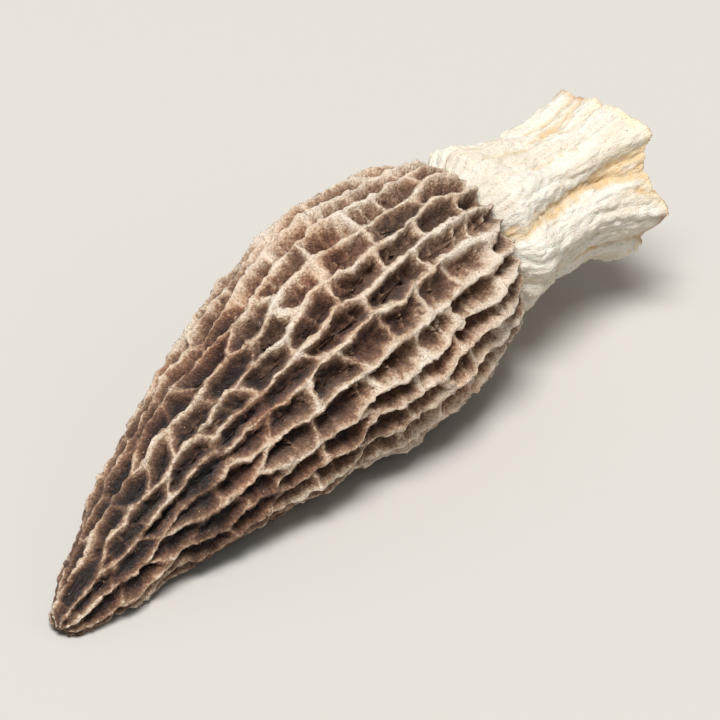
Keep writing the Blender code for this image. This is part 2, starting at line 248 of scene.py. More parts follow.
@dataclass
class Form:
    """Form of the whole mushroom: its bent middle line and how stout it is along that line."""

    cap_length: float = 43.0 * MM
    cap_half_width: float = 8.75 * MM
    stem_length: float = 13.0 * MM
    side_bend: float = 1.6 * MM
    tip_droop: float = 5.2 * MM
    stem_droop: float = 1.5 * MM
    cap_outline: SmoothLine = field(default_factory=lambda: SmoothLine((
        (0.00, 0.10), (0.04, 0.19), (0.15, 0.37), (0.30, 0.57), (0.45, 0.75), (0.60, 0.90), (0.77, 1.00),
        (0.88, 0.96), (0.95, 0.86), (0.985, 0.75), (1.00, 0.66),
    )))
    stem_outline: SmoothLine = field(default_factory=lambda: SmoothLine((
        (0.0 * MM, 5.3 * MM), (1.2 * MM, 6.1 * MM), (3.5 * MM, 5.5 * MM), (6.5 * MM, 4.9 * MM),
        (9.5 * MM, 5.0 * MM), (13.0 * MM, 5.8 * MM),
    )))
    # Bulges round the shrunken body: how many, how high as a share of its radius, and where they start. They
    # turn along it, by this many radians a metre.
    bulges: tuple[Triple, ...] = ((2.0, 0.045, 0.6), (3.0, 0.022, 2.1))
    twist: float = 9.0

    def middle(self, distance: Array) -> Array:
        """Points of the middle line, which bows to one side and droops at both ends.

        Args:
            distance: Distances from the tip.

        Returns:
            One point for each distance.
        """
        share = distance / (self.cap_length + self.stem_length)
        bow = self.side_bend * 4.0 * share * (1.0 - share)
        droop = self.tip_droop * np.maximum(1.0 - distance / self.cap_length, 0.0) ** 2
        bent_from = self.cap_length - 0.5 * self.stem_length
        bent_length = self.cap_length + self.stem_length - bent_from
        past = np.maximum((distance - bent_from) / bent_length, 0.0)
        return np.stack((distance, bow, -droop - self.stem_droop * past ** 2), axis=-1)

    def axes(self, distance: Array) -> tuple[Array, Array, Array]:
        """Directions along the middle line, to its side and up from it.

        Args:
            distance: Distances from the tip.

        Returns:
            Three unit directions for each distance.
        """
        step = 0.1 * MM
        along = self.middle(distance + step) - self.middle(distance - step)
        along /= np.linalg.norm(along, axis=-1, keepdims=True)
        side = np.cross(along, (0.0, 0.0, 1.0))
        side /= np.linalg.norm(side, axis=-1, keepdims=True)
        return along, side, np.cross(side, along)

    def roundness(self, distance: Array, angle: Array) -> Array:
        """How far the shrunken body departs from a true circle, as a factor on its radius."""
        turn = angle + self.twist * distance
        return 1.0 + sum(height * np.cos(count * turn + start) for count, height, start in self.bulges)

    def cap_radius(self, distance: float | Array) -> float | Array:
        """Radius of the cap over its crests."""
        return self.cap_half_width * self.cap_outline.at(distance / self.cap_length)

    def spokes(self, distance: Array, angle: Array) -> tuple[Array, Array]:
        """Directions along the middle line, and away from it at each angle."""
        along, side, up = self.axes(distance)
        return along, side * np.cos(angle)[:, None] + up * np.sin(angle)[:, None]

    def place(self, distance: Array, angle: Array, radius: Array) -> Array:
        """Points at these distances, angles and radii from the middle line."""
        _, spoke = self.spokes(distance, angle)
        return self.middle(distance) + spoke * radius[:, None]

    def cap_point(self, distance: Array, angle: Array, depth: Array) -> Array:
        """Points on the cap, sunk square to its surface by depth.

        Args:
            distance: Distances from the tip.
            angle: Angles round the middle line.
            depth: How deep each point is sunk.

        Returns:
            One point in space for each.
        """
        along, spoke = self.spokes(distance, angle)
        step = 0.2 * MM
        slope = (self.cap_radius(distance + step) - self.cap_radius(distance - step)) / (2.0 * step)
        outward = spoke - along * slope[:, None]
        outward /= np.linalg.norm(outward, axis=1, keepdims=True)
        radius = self.cap_radius(distance) * self.roundness(distance, angle)
        return self.middle(distance) + spoke * radius[:, None] - outward * depth[:, None]


def straight_seats(distance: Array, angle: Array, radius: Array) -> Array:
    """Places on the mushroom as if it were straight, which patterns that follow it are read at."""
    return np.stack((np.cos(angle) * radius, np.sin(angle) * radius, distance), axis=-1)


@dataclass
class Net:
    """The net of the cap, drawn on the cap rolled out flat: angle across, height up.

    Lengths along the cap are pressed together by pit_stretch, so that evenly spread points give long pits.
    """

    form: Form
    ribs_round: int = 24
    ribs_at_tip: int = 6
    rib_spacing_at_tip: float = 1.5 * MM
    pit_length: float = 4.2 * MM
    pit_length_at_tip: float = 2.6 * MM
    uneven_pits: float = 0.28
    pit_stretch: float = 2.5
    top: float = 1.3 * MM
    shortest_edge: float = 0.5 * MM
    longest_edge: float = 2.2 * MM
    wave: float = 0.30 * MM
    wave_length: float = 1.3 * MM
    # Where the second of two patterns is read in the same noise.
    elsewhere: Triple = (17.3, 5.1, 9.7)
    # How far a column strays to the side in radians, over what length, and where its noise is read.
    column_wander: float = 0.05
    wander_length: float = 9.0 * MM
    wander_step: float = 0.8
    wander_start: float = 3.7
    # Shares of a pit's length: how far the lowest pits start from the edge, and the room that the last needs.
    lowest_pits: Span = (0.25, 0.75)
    last_pit_room: float = 0.3
    # Shares of the cap's length: where it is widest, and from where its pits are of full length.
    widest_share: float = 0.77
    full_pits_at: float = 0.7
    # Corners as near as this are one corner.
    near_height: float = 1e-3
    near_way: float = 0.02 * MM
    plan_rows: int = 400
    corners: list[Place] = field(default_factory=list)
    outlines: list[list[int]] = field(default_factory=list)

    def __post_init__(self) -> None:
        """Rolls the cap out flat."""
        self.widest_at = self.widest_share * self.form.cap_length
        self.distances = np.linspace(self.top, self.form.cap_length, self.plan_rows)
        rates = 1.0 / (self.pit_stretch * self.form.cap_radius(self.distances))
        between = 0.5 * (rates[1:] + rates[:-1]) * np.diff(self.distances)
        self.heights = np.concatenate(([0.0], np.cumsum(between)))

    def height(self, distance: float | Array) -> float | Array:
        """Height in the flat plan at a distance from the tip."""
        return np.interp(distance, self.distances, self.heights)

    def distance(self, height: float | Array) -> float | Array:
        """Distance from the tip at a height in the flat plan."""
        return np.interp(height, self.heights, self.distances)

    def column_weights(self, distance: float) -> list[float]:
        """Share of the girth that each column of pits takes. One that ends narrows away.

        Args:
            distance: Distance from the tip.

        Returns:
            A weight from 0 to 1 for each column.
        """
        count = float(self.ribs_round)
        if distance < self.widest_at:
            widest_spacing = TURN * self.form.cap_half_width / self.ribs_round
            spacing = blend(self.rib_spacing_at_tip, widest_spacing, distance / self.widest_at)
            round_here = TURN * self.form.cap_radius(distance)
            count = min(max(round_here / spacing, self.ribs_at_tip), self.ribs_round)
        golden = 0.618034
        order = sorted(range(self.ribs_round), key=lambda column: (column * golden) % 1.0)
        rank = {column: place_in_line for place_in_line, column in enumerate(order)}
        return [min(max(count - rank[column] + 0.5, 0.0), 1.0) for column in range(self.ribs_round)]

    def column_angle(self, distance: float, column: int) -> float:
        """Angle of the middle of a column, with its sideways wander.

        Args:
            distance: Distance from the tip.
            column: Number of the column.

        Returns:
            The angle.
        """
        weights = self.column_weights(distance)
        shares = np.cumsum([0.0] + weights) / sum(weights)
        centres = 0.5 * (shares[1:] + shares[:-1])
        even = (np.arange(self.ribs_round) + 0.5) / self.ribs_round
        drift = float(np.mean(centres - even))
        seat = Vector((distance / self.wander_length, column * self.wander_step, self.wander_start))
        return TURN * (centres[column] - drift) + self.column_wander * noise.noise(seat)

    def pit_centres(self, rng: random.Random) -> list[Place]:
        """Middle of each pit: down every column at uneven steps, so that the cross-ties don't line up.

        Args:
            rng: Source of the random draws.

        Returns:
            Angle and height of each pit.
        """
        centres = []
        for column in range(self.ribs_round):
            distance = self.form.cap_length - rng.uniform(*self.lowest_pits) * self.pit_length
            while distance > self.top + self.last_pit_room * self.pit_length_at_tip:
                if self.column_weights(distance)[column] < 0.5:
                    break
                centres.append((self.column_angle(distance, column), float(self.height(distance))))
                share = distance / (self.full_pits_at * self.form.cap_length)
                pit = blend(self.pit_length_at_tip, self.pit_length, share)
                distance -= pit * rng.uniform(1.0 - self.uneven_pits, 1.0 + self.uneven_pits)
        return centres

    def cells(self, centres: list[Place]) -> list[list[Place]]:
        """Outline of each mesh of the net: the ground nearer to its own pit than to any other.

        The plan is repeated once round to each side, and mirrored past both ends, which makes them straight.

        Args:
            centres: The middle of each pit.

        Returns:
            The corners of each mesh, in order round it.
        """
        copies = []
        for turn in (0, -1, 1):
            for flip in (None, self.heights[0], self.heights[-1]):
                for angle, height in centres:
                    copies.append((angle + turn * TURN, height if flip is None else 2.0 * flip - height))
        tolerance = 1e-9
        drawn = delaunay_2d_cdt([Vector(spot) for spot in copies], [], [], 0, tolerance)
        points, triangles, origins = drawn[0], drawn[2], drawn[3]
        own = {index for index, sources in enumerate(origins) if sources and sources[0] < len(centres)}
        corners = {index: [] for index in range(len(points)) if index in own}
        for triangle in triangles:
            if own.intersection(triangle):
                centre = self.circle_centre(*(points[index] for index in triangle))
                for index in own.intersection(triangle):
                    corners[index].append(centre)
        cells = []
        for index, found in corners.items():
            x, y = points[index]
            cells.append(sorted(found, key=lambda corner: math.atan2(corner[1] - y, corner[0] - x)))
        return cells

    @staticmethod
    def circle_centre(a: Place, b: Place, c: Place) -> Place:
        """Centre of the circle through three points of the flat plan.

        Args:
            a: The first point.
            b: The second point.
            c: The third point.

        Returns:
            The centre.
        """
        bx, by, cx, cy = b[0] - a[0], b[1] - a[1], c[0] - a[0], c[1] - a[1]
        twice_area = 2.0 * (bx * cy - by * cx)
        ux = (cy * (bx * bx + by * by) - by * (cx * cx + cy * cy)) / twice_area
        uy = (bx * (cx * cx + cy * cy) - cx * (bx * bx + by * by)) / twice_area
        return a[0] + ux, a[1] + uy

    def way(self, start: Place, end: Place) -> Array:
        """The way over the cap from one place of the plan to another, across and along, in metres."""
        radius = self.form.cap_radius(self.distance(0.5 * (start[1] + end[1])))
        return np.array((wrap(end[0] - start[0]), self.pit_stretch * (end[1] - start[1]))) * radius

    def corner(self, angle: float, height: float) -> int:
        """Number of the corner at this place, a new one unless one is already there.

        Args:
            angle: The corner's angle.
            height: Its height in the flat plan.

        Returns:
            Its number.
        """
        here = (angle % TURN, height)
        for number, known in enumerate(self.corners):
            if abs(known[1] - height) < self.near_height and np.hypot(*self.way(known, here)) < self.near_way:
                return number
        self.corners.append(here)
        return len(self.corners) - 1

    def on_end(self, place: Place) -> bool:
        """Whether a place is on the upper or the lower end of the net."""
        return min(abs(place[1] - self.heights[0]), abs(place[1] - self.heights[-1])) < SAME_HEIGHT

    def draw(self, rng: random.Random) -> None:
        """Draws the net as shared corners and closed outlines, with every short edge drawn together.

        Args:
            rng: Source of the random draws.
        """
        for cell in self.cells(self.pit_centres(rng)):
            self.outlines.append([self.corner(*corner) for corner in cell])
        joined = list(range(len(self.corners)))
        for outline in self.outlines:
            for a, b in around(outline):
                a, b = joined[a], joined[b]
                if a == b or np.hypot(*self.way(self.corners[a], self.corners[b])) >= self.shortest_edge:
                    continue
                ends = self.on_end(self.corners[a]), self.on_end(self.corners[b])
                keep, drop = (b, a) if ends == (False, True) else (a, b)
                if ends[0] == ends[1]:
                    kept, dropped = self.corners[keep], self.corners[drop]
                    across = wrap(dropped[0] - kept[0])
                    self.corners[keep] = ((kept[0] + 0.5 * across) % TURN, 0.5 * (kept[1] + dropped[1]))
                joined = [keep if number == drop else number for number in joined]
        for i, outline in enumerate(self.outlines):
            self.outlines[i] = list(dict.fromkeys(joined[number] for number in outline))

    def waved(self, place: Place) -> Place:
        """The place with its small sideways shift, which makes the ribs waver.

        Args:
            place: Angle and height in the flat plan.

        Returns:
            The shifted place.
        """
        if self.on_end(place):
            return place
        angle, height = place
        distance = self.distance(height)
        radius = self.form.cap_radius(distance)
        seat = Vector((math.cos(angle) * radius, math.sin(angle) * radius, distance)) / self.wave_length
        across = noise.noise(seat)
        upward = noise.noise(seat + Vector(self.elsewhere))
        return angle + self.wave * across / radius, height + self.wave * upward / (radius * self.pit_stretch)

    def halfway(self, a: int, b: int) -> Place | None:
        """Place halfway along a long edge.

        Args:
            a: The corner that the edge starts at.
            b: The corner that it ends at.

        Returns:
            The place, or None where the edge is short or lies on an end of the net.
        """
        first, last = self.corners[a], self.corners[b]
        if np.hypot(*self.way(first, last)) < self.longest_edge or (self.on_end(first) and self.on_end(last)):
            return None
        return (first[0] + 0.5 * wrap(last[0] - first[0])) % TURN, 0.5 * (first[1] + last[1])


@dataclass
class Crests:
    """Fine points along every crest of the net, which the pits on both sides share."""

    net: Net
    rng: random.Random
    spacing: float = 0.28 * MM
    tip_spacing: float = 0.14 * MM
    mean_half_width: float = 0.19 * MM
    # How narrow the crests are at the tip, and the share of the cap's length where they are of full width.
    tip_narrowing: float = 0.78
    full_width_at: float = 0.4
    # Two edges run through a knot in one line where the cosine between them is under the first value. The
    # others meet that line nearly square, and lean to one side by up to the skew.
    in_line: float = -0.25
    squareness: float = 0.8
    skew: float = 0.4
    # An edge is a rib while less of it than this runs across the cap, and a full tie once this much does.
    rib_to_tie: Span = (0.45, 0.85)
    # A tie is thinner or stouter than a rib by up to these shares.
    knot_stoutness: float = 1.1
    tie_stoutness: Span = (-0.3, 0.8)
    tie_sag: float = 0.52 * MM
    uneven_ties: float = 0.75
    foot_sag: float = 0.75 * MM
    tip_sag: float = 0.42 * MM
    full_arch: float = 0.9
    # Near the tip the waver fades out over the first length, and the sag over the second.
    waver_from_tip: float = 3.0 * MM
    sag_from_tip: float = 4.0 * MM
    # Waver across and along the cap, rise and fall, whole stretches that lie lower, and uneven width.
    wavers: tuple[Ripple, Ripple] = (Ripple(0.16 * MM, 0.8 * MM, 31.0), Ripple(0.16 * MM, 0.8 * MM, 57.0))
    swings: tuple[Ripple, Ripple] = (Ripple(0.255 * MM, 2.3 * MM, 11.0), Ripple(0.221 * MM, 0.75 * MM, 5.0))
    dip: Ripple = Ripple(0.50 * MM, 2.0 * MM, 19.0, 0.2)
    highest_dip: float = -0.1
    uneven_width: Ripple = Ripple(0.8, 1.1 * MM, 71.0)
    # Angle, height, sag and stoutness of each point as it is drawn.
    drawn: list[tuple[float, float, float, float]] = field(default_factory=list)
    knots: dict[int, int] = field(default_factory=dict)
    strands: dict[tuple[int, int], list[int]] = field(default_factory=dict)

    def point(self, place: Place, sag: float, stoutness: float) -> int:
        """Adds a crest point.

        Args:
            place: Angle and height in the flat plan.
            sag: How far it sags.
            stoutness: How stout the crest is there, 1 on average.

        Returns:
            The number of the point.
        """
        self.drawn.append((*place, sag, stoutness))
        return len(self.drawn) - 1

    def leads(self) -> dict[tuple[int, int], Array]:
        """Direction in which each edge leaves its first corner.

        At a knot the two edges that lie most nearly in line run through it in one smooth curve.

        Returns:
            A direction over the cap for each pair of a corner and its neighbour.
        """
        neighbours: dict[int, list[int]] = {}
        for outline in self.net.outlines:
            for a, b in around(outline):
                for start, end in ((a, b), (b, a)):
                    if end not in neighbours.setdefault(start, []):
                        neighbours[start].append(end)
        leads = {}
        for corner, others in neighbours.items():
            here = self.net.waved(self.net.corners[corner])
            ways = {}
            for other in others:
                way = self.net.way(here, self.net.waved(self.net.corners[other]))
                ways[other] = way / np.hypot(*way)
            left, through = list(others), None
            while len(left) > 1:
                pairs = [(ways[i] @ ways[j], i, j) for k, i in enumerate(left) for j in left[k + 1:]]
                facing, i, j = min(pairs)
                if facing > self.in_line:
                    break
                through = (ways[i] - ways[j]) / np.hypot(*(ways[i] - ways[j]))
                leads[corner, i], leads[corner, j] = through, -through
                left.remove(i)
                left.remove(j)
            for other in left:
                leads[corner, other] = ways[other]
                if through is not None:
                    square = np.array((-through[1], through[0])) * np.sign(through[0] * ways[other][1]
                                                                           - through[1] * ways[other][0])
                    skew = self.rng.uniform(-self.skew, self.skew)
                    bent = ways[other] + self.squareness * square + skew * through
                    leads[corner, other] = bent / np.hypot(*bent)
        return leads

    def lay(self) -> None:
        """Lays the fine points along every edge of the net and gives them their width and sag."""
        leads = self.leads()
        edges = {(min(edge), max(edge)) for outline in self.net.outlines for edge in around(outline)}
        for a, b in sorted(edges):
            for corner in (a, b):
                if corner not in self.knots:
                    place = self.net.waved(self.net.corners[corner])
                    self.knots[corner] = self.point(place, 0.0, self.knot_stoutness)
            start, end = (self.net.waved(self.net.corners[corner]) for corner in (a, b))
            chord = self.net.way(start, end)
            legs = [(start, leads[a, b]), (end, -leads[b, a])]
            between = self.net.halfway(a, b)
            if between is not None:
                legs.insert(1, (self.net.waved(between), chord / np.hypot(*chord)))
            tie = float(ease(*self.rib_to_tie, abs(chord[0]) / np.hypot(*chord)))
            self.strands[a, b] = self.lay_strand(a, b, legs, tie)
        self.finish()

    def lay_strand(self, a: int, b: int, legs: list[tuple[Place, Array]], tie: float) -> list[int]:
        """Lays the points of one edge along a smooth curve.

        Args:
            a: The corner that the edge starts at.
            b: The corner that it ends at.
            legs: Places that the curve goes through, each with its direction over the cap there.
            tie: 0 for a rib along the cap, 1 for a tie straight across.

        Returns:
            The numbers of the points, from corner to corner.
        """
        numbers = [self.knots[a]]
        on_end = self.net.on_end(legs[0][0]) and self.net.on_end(legs[-1][0])
        at_tip = on_end and legs[0][0][1] < self.net.heights[1]
        slack = self.tie_sag * tie * (1.0 + self.uneven_ties * self.rng.uniform(-1.0, 1.0))
        stoutness = 1.0 + self.rng.uniform(*self.tie_stoutness) * tie
        spacing = self.tip_spacing if at_tip else self.spacing
        for leg, ((start, first), (end, last)) in enumerate(zip(legs, legs[1:])):
            way = self.net.way(start, end)
            length = float(np.hypot(*way))
            radius = self.net.form.cap_radius(self.net.distance(0.5 * (start[1] + end[1])))
            to_plan = length / (radius * np.array((1.0, self.net.pit_stretch)))
            count = max(2, round(length / spacing))
            for step in range(1, count + 1):
                t = step / count
                if leg == len(legs) - 2 and step == count:
                    break
                rise = t * t * (3.0 - 2.0 * t)
                bend = t * (1.0 - t) ** 2 * first * to_plan + t * t * (t - 1.0) * last * to_plan
                whole = (leg + t) / (len(legs) - 1)
                arch = 4.0 * whole * (1.0 - whole)
                angle = start[0] + rise * wrap(end[0] - start[0]) + bend[0]
                height = start[1] + rise * (end[1] - start[1]) + bend[1]
                sag = slack * arch
                if on_end:
                    height = start[1]
                    tip_arch = ease(0.0, self.full_arch, arch)
                    sag = tip_arch * self.tip_sag if at_tip else arch * self.foot_sag
                thick = blend(self.knot_stoutness, stoutness, 2.0 * arch)
                numbers.append(self.point((angle, height), sag, thick))
        return numbers + [self.knots[b]]

    def finish(self) -> None:
        """Gives every point its final place, with the waver and swing of its crest, its sag and its width."""
        form, net = self.net.form, self.net
        angle, height, sag, stoutness = np.array(self.drawn).T
        distance = net.distance(height)
        radius = form.cap_radius(distance)
        seats = straight_seats(distance, angle, radius)
        inner = np.minimum(height - net.heights[0], net.heights[-1] - height) > SAME_HEIGHT
        inner = inner * ease(0.0, self.waver_from_tip, distance - net.top)
        across, along = (waver.at(seats) * inner / radius for waver in self.wavers)
        self.angle = angle + across
        self.height = height + along / net.pit_stretch
        swing = sum(swing.at(seats) for swing in self.swings)
        swing = swing + self.dip.height * np.maximum(self.dip.shares(seats), self.highest_dip)
        past_tip = ease(0.0, self.sag_from_tip, distance - net.top)
        self.sink = sag * np.where(self.height > net.heights[1], past_tip, 1.0) + swing * inner
        narrow = blend(self.tip_narrowing, 1.0, distance / (self.full_width_at * form.cap_length))
        uneven = stoutness * (1.0 + self.uneven_width.at(seats))
        self.half_width = self.mean_half_width * narrow * uneven

    def ring(self, height: float) -> Array:
        """Numbers of the points along one end of the net, in order round the cap.

        Args:
            height: Height of that end in the flat plan.

        Returns:
            The numbers.
        """
        corners = [n for n in self.knots if abs(self.net.corners[n][1] - height) < SAME_HEIGHT]
        corners.sort(key=lambda number: self.net.corners[number][0])
        numbers = []
        for a, b in around(corners):
            numbers += self.run(a, b)[:-1]
        return np.array(numbers)

    def run(self, a: int, b: int) -> list[int]:
        """Numbers of the points from corner a to corner b."""
        return self.strands[a, b] if a < b else self.strands[b, a][::-1]


class Rest:
    """Lays the grown mushroom down as the solid lies, with its lowest crests pressed flat."""

    pressed_flat: float = 0.35 * MM
    # Shares of the cap's length where the part at the tip ends and the belly starts.
    tip_until: float = 0.15
    belly_from: float = 0.6
    steepest: float = math.radians(25.0)
    halvings: int = 30
    # The solid's tip, past the end of the net: shares of the length of that end, and of its radius.
    nub_at: float = 0.2
    shoulder_at: float = 0.45
    shoulder_width: float = 0.62

    def __init__(self, net: Net) -> None:
        """Finds the tilt at which the tip and the belly touch the ground together, and the shift.

        Args:
            net: The net, whose crests are what touches.
        """
        form = net.form
        places = []
        for outline in net.outlines:
            for a, b in around(outline):
                between = net.halfway(a, b)
                places += [net.waved(net.corners[a])] + ([] if between is None else [net.waved(between)])
        angle, height = np.array(places).T
        crests = form.cap_point(net.distance(height), angle, np.zeros(len(places)))
        along = crests[:, 0] / form.cap_length
        tip, belly = crests[along < self.tip_until], crests[(along > self.belly_from) & (along < 1.0)]
        low, high = 0.0, self.steepest
        for _ in range(self.halvings):
            tilt = 0.5 * (low + high)
            down = np.array((math.sin(tilt), 0.0, math.cos(tilt)))
            if (tip @ down).min() > (belly @ down).min():
                low = tilt
            else:
                high = tilt
        self.turn = np.array(Matrix.Rotation(-tilt, 3, "Y"))
        turned = crests @ self.turn.T
        nub = np.array([form.middle(np.array(self.nub_at * net.top))]) @ self.turn.T
        ends = angle[np.abs(height - net.heights[0]) < SAME_HEIGHT]
        radius = np.full(len(ends), self.shoulder_width * form.cap_radius(net.top))
        shoulder = form.place(np.full(len(ends), self.shoulder_at * net.top), ends, radius)
        nub = np.vstack((nub, shoulder @ self.turn.T))
        lowest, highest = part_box(NODE)
        self.shift = np.array((
            lowest.x - nub[:, 0].min(),
            0.5 * (lowest.y + highest.y) - 0.5 * (turned[:, 1].min() + turned[:, 1].max()),
            -turned[:, 2].min() - self.pressed_flat,
        ))

    def lay(self, points: Array) -> Array:
        """The points as they lie, with nothing under the floor.

        Args:
            points: Points of the mushroom as it is grown.

        Returns:
            The same points, laid down.
        """
        laid = points @ self.turn.T + self.shift
        laid[:, 2] = np.maximum(laid[:, 2], 0.0)
        return laid


class Skin:
    """Points, faces and named values of one closed surface."""

    def __init__(self) -> None:
        """Starts with nothing."""
        self.points: list[Array] = []
        self.values: dict[str, list[Array]] = {}
        self.faces: list[tuple[int, ...]] = []
        self.count = 0

    def add(self, points: Array, **values: float | Array) -> Array:
        """Adds points with their named values.

        Args:
            points: One row for each point.
            values: A number or an array for each value. Every call names the same values.

        Returns:
            The numbers of the new points.
        """
        self.points.append(points)
        for name, value in values.items():
            shape = (len(points), 3) if name == "seat" else (len(points),)
            self.values.setdefault(name, []).append(np.broadcast_to(value, shape))
        numbers = np.arange(self.count, self.count + len(points))
        self.count += len(points)
        return numbers

    def band(self, first: Array, second: Array) -> None:
        """Closed band of four-sided faces between two rings of as many points."""
        after, beyond = np.roll(first, -1), np.roll(second, -1)
        self.faces += np.stack((first, after, beyond, second), axis=1).tolist()

    def fan(self, ring: Array, tip: int) -> None:
        """Closes a ring with triangles that meet at one point."""
        after = np.roll(ring, -1)
        self.faces += np.stack((ring, after, np.full(len(ring), tip)), axis=1).tolist()

    def build(self, name: str, rest: Rest) -> bpy.types.Object:
        """Makes the object, laid down as the mushroom lies, with its faces pointing out.

        Args:
            name: Name of the object.
            rest: How the mushroom lies.

        Returns:
            The object.
        """
        mesh = bpy.data.meshes.new(name)
        mesh.from_pydata(rest.lay(np.concatenate(self.points)), [], self.faces)
        for value, parts in self.values.items():
            vector = parts[0].ndim == 2
            attribute = mesh.attributes.new(value, "FLOAT_VECTOR" if vector else "FLOAT", "POINT")
            flat = np.concatenate(parts).astype(float).ravel()
            attribute.data.foreach_set("vector" if vector else "value", flat)
        work = bmesh.new()
        work.from_mesh(mesh)
        bmesh.ops.recalc_face_normals(work, faces=work.faces)
        work.to_mesh(mesh)
        work.free()
        mesh.shade_smooth()
        return new_object(name, mesh)


@dataclass
class Cap:
    """The cap: a net of ribs and ties over deep pits, turned under at its lower edge, and hollow."""

    crests: Crests
    rng: random.Random
    pit_depth: float = 1.5 * MM
    pit_depth_at_tip: float = 0.55 * MM
    uneven_depth: float = 0.22
    # Share of the cap's length where its pits are of full depth.
    full_depth_at: float = 0.5
    # A wall is steep under its crest and eases out at its foot. Its run is at most half of the pit's depth.
    wall_run: float = 0.50 * MM
    wall_start: float = 0.35
    crown: float = 0.08 * MM
    fillet: float = 0.13 * MM
    crest_fade: Span = (-0.8, 0.6)
    # The floor dishes towards its middle, over this many runs of the wall.
    dish: float = 0.12
    dish_from: float = 0.5
    dish_to: float = 2.6
    # Rows of points from the crest to the foot of the wall, and on over the floor to the pit's spine.
    wall_rows: int = 6
    floor_rows: int = 3
    foot_gap: float = 0.05 * MM
    widest_foot: float = 0.75
    last_row: float = 0.9
    spine_share: float = 0.45
    # Low veins across the floor: their size, how uneven they lie, and the depths of their backs as shares of
    # the pit's. The floor runs into them over the side, and their tone fades out over the fade, as shares of
    # their run.
    vein_half_width: float = 0.06 * MM
    vein_run: float = 0.30 * MM
    vein_spacing: float = 1.9 * MM
    vein_steps: Span = (0.6, 1.4)
    vein_skew: float = 0.5 * MM
    vein_backs: Span = (0.12, 0.70)
    vein_sag: float = 0.25
    vein_root: float = 1.2
    vein_fillet: float = 0.08 * MM
    vein_side: Span = (-0.5, 1.0)
    vein_fade: Span = (-0.6, 0.7)
    # The floor's crinkle, which the walls take less of: folds drawn out lengthwise, and swellings.
    folds: Ripple = Ripple(0.16 * MM, 0.5 * MM, 9.0, 0.5)
    fold_level: float = 0.2
    swellings: Ripple = Ripple(0.08 * MM, 0.75 * MM, 3.0)
    crinkled: Span = (0.25, 0.8)
    # The whole cap: its crests lean to the sides, and it is dented here and there, but not at its tip.
    lean: Ripple = Ripple(0.45 * MM, 4.2 * MM, 83.0)
    dent: Ripple = Ripple(0.55 * MM, 8.0 * MM, 23.0)
    dented: Span = (0.02, 0.45)
    true_tip: float = 3.0 * MM
    # The tip's dome: how far it rises, how it rounds off, how the grooves of the net run out on it, and how
    # deep they look.
    tip_rows: int = 9
    dome_height: float = 0.8
    dome_rise: float = 1.15
    dome_waist: float = 0.9
    groove_fade: float = 1.2
    groove_slant: float = 0.5
    groove_depth: float = 0.45
    groove_edge: float = 0.7
    tip_wrinkles: Ripple = Ripple(0.22 * MM, 0.9 * MM)
    tip_tone: float = 0.7
    apex_at: float = 0.22
    apex_depth: float = 0.2
    apex_edge: float = 0.7
    # The lower edge, turned in: how far back and how far in each ring of it is, how it follows the sag of the
    # ribs, and its colour: the depth that it starts from, as a share of a pit's, and how pale it stays.
    turned_edge: tuple[Place, ...] = ((0.10 * MM, 0.35 * MM), (0.40 * MM, 0.75 * MM), (0.85 * MM, 1.15 * MM))
    sags_back: float = 0.3
    sags_in: float = 0.5
    turned_depth: float = 0.4
    turned_paleness: float = 0.3
    # The hollow: its wall behind the pits, how much thicker that is at the edge and over what length, its top
    # and the point that closes it, and the depth that its colour is read at.
    wall: float = 1.15 * MM
    wall_at_edge: float = 2.6 * MM
    thick_edge: float = 4.0 * MM
    hollow_top: float = 7.0 * MM
    hollow_crown: float = 1.2 * MM
    hollow_depth: float = 0.45
    hollow_rows: int = 12
    hollow_swellings: Ripple = Ripple(0.2 * MM, 1.5 * MM)

    def __post_init__(self) -> None:
        """Starts the surface, and shortens the names of what it is grown from."""
        self.net = self.crests.net
        self.form = self.net.form
        self.skin = Skin()

    def full_depth(self, distance: float | Array) -> float | Array:
        """Depth of a pit at its middle."""
        share = distance / (self.full_depth_at * self.form.cap_length)
        return blend(self.pit_depth_at_tip, self.pit_depth, share)

    def run_for(self, full: float) -> float:
        """Run of the walls of a pit of this depth."""
        return min(self.wall_run, 0.5 * full)

    def add_points(self, angle: Array, height: Array, depth: Array, share: Array, edge: Array,
                   tone: float | Array) -> Array:
        """Adds points of the outside.

        Args:
            angle: Angle of each point.
            height: Its height in the flat plan.
            depth: How deep it is sunk.
            share: Its depth as a share of its pit's, 0 on a crest.
            edge: How near it is to a crest, 1 on it and 0 at the foot of its wall.
            tone: Tone of its pit, 0.5 on average.

        Returns:
            The numbers of the points.
        """
        distance = self.net.distance(height)
        radius = self.form.cap_radius(distance)
        seats = straight_seats(distance, angle, radius)
        past_tip = ease(0.0, self.true_tip, distance - self.net.top)
        lean = self.lean.at(seats) * (1.0 - ease(0.0, 1.0, share)) * past_tip
        dent = self.dent.height * ease(*self.dented, self.dent.shares(seats)) * past_tip
        points = self.form.cap_point(distance, angle + lean / radius, depth + dent)
        return self.skin.add(points, depth=share, edge=edge, tone=tone, open=1.0, seat=seats / MM)

    def grow(self, rest: Rest) -> bpy.types.Object:
        """Builds the whole cap as one closed surface.

        Args:
            rest: How the mushroom lies.

        Returns:
            The smooth cap.
        """
        crests = self.crests
        crests.lay()
        share = crests.sink / self.full_depth(self.net.distance(crests.height))
        self.add_points(crests.angle, crests.height, crests.sink, share, np.ones(len(share)), MEAN_TONE)
        for outline in self.net.outlines:
            self.sink_pit(outline)
        self.close_tip()
        self.line_hollow(self.turn_under())
        return self.skin.build("cap_smooth", rest)

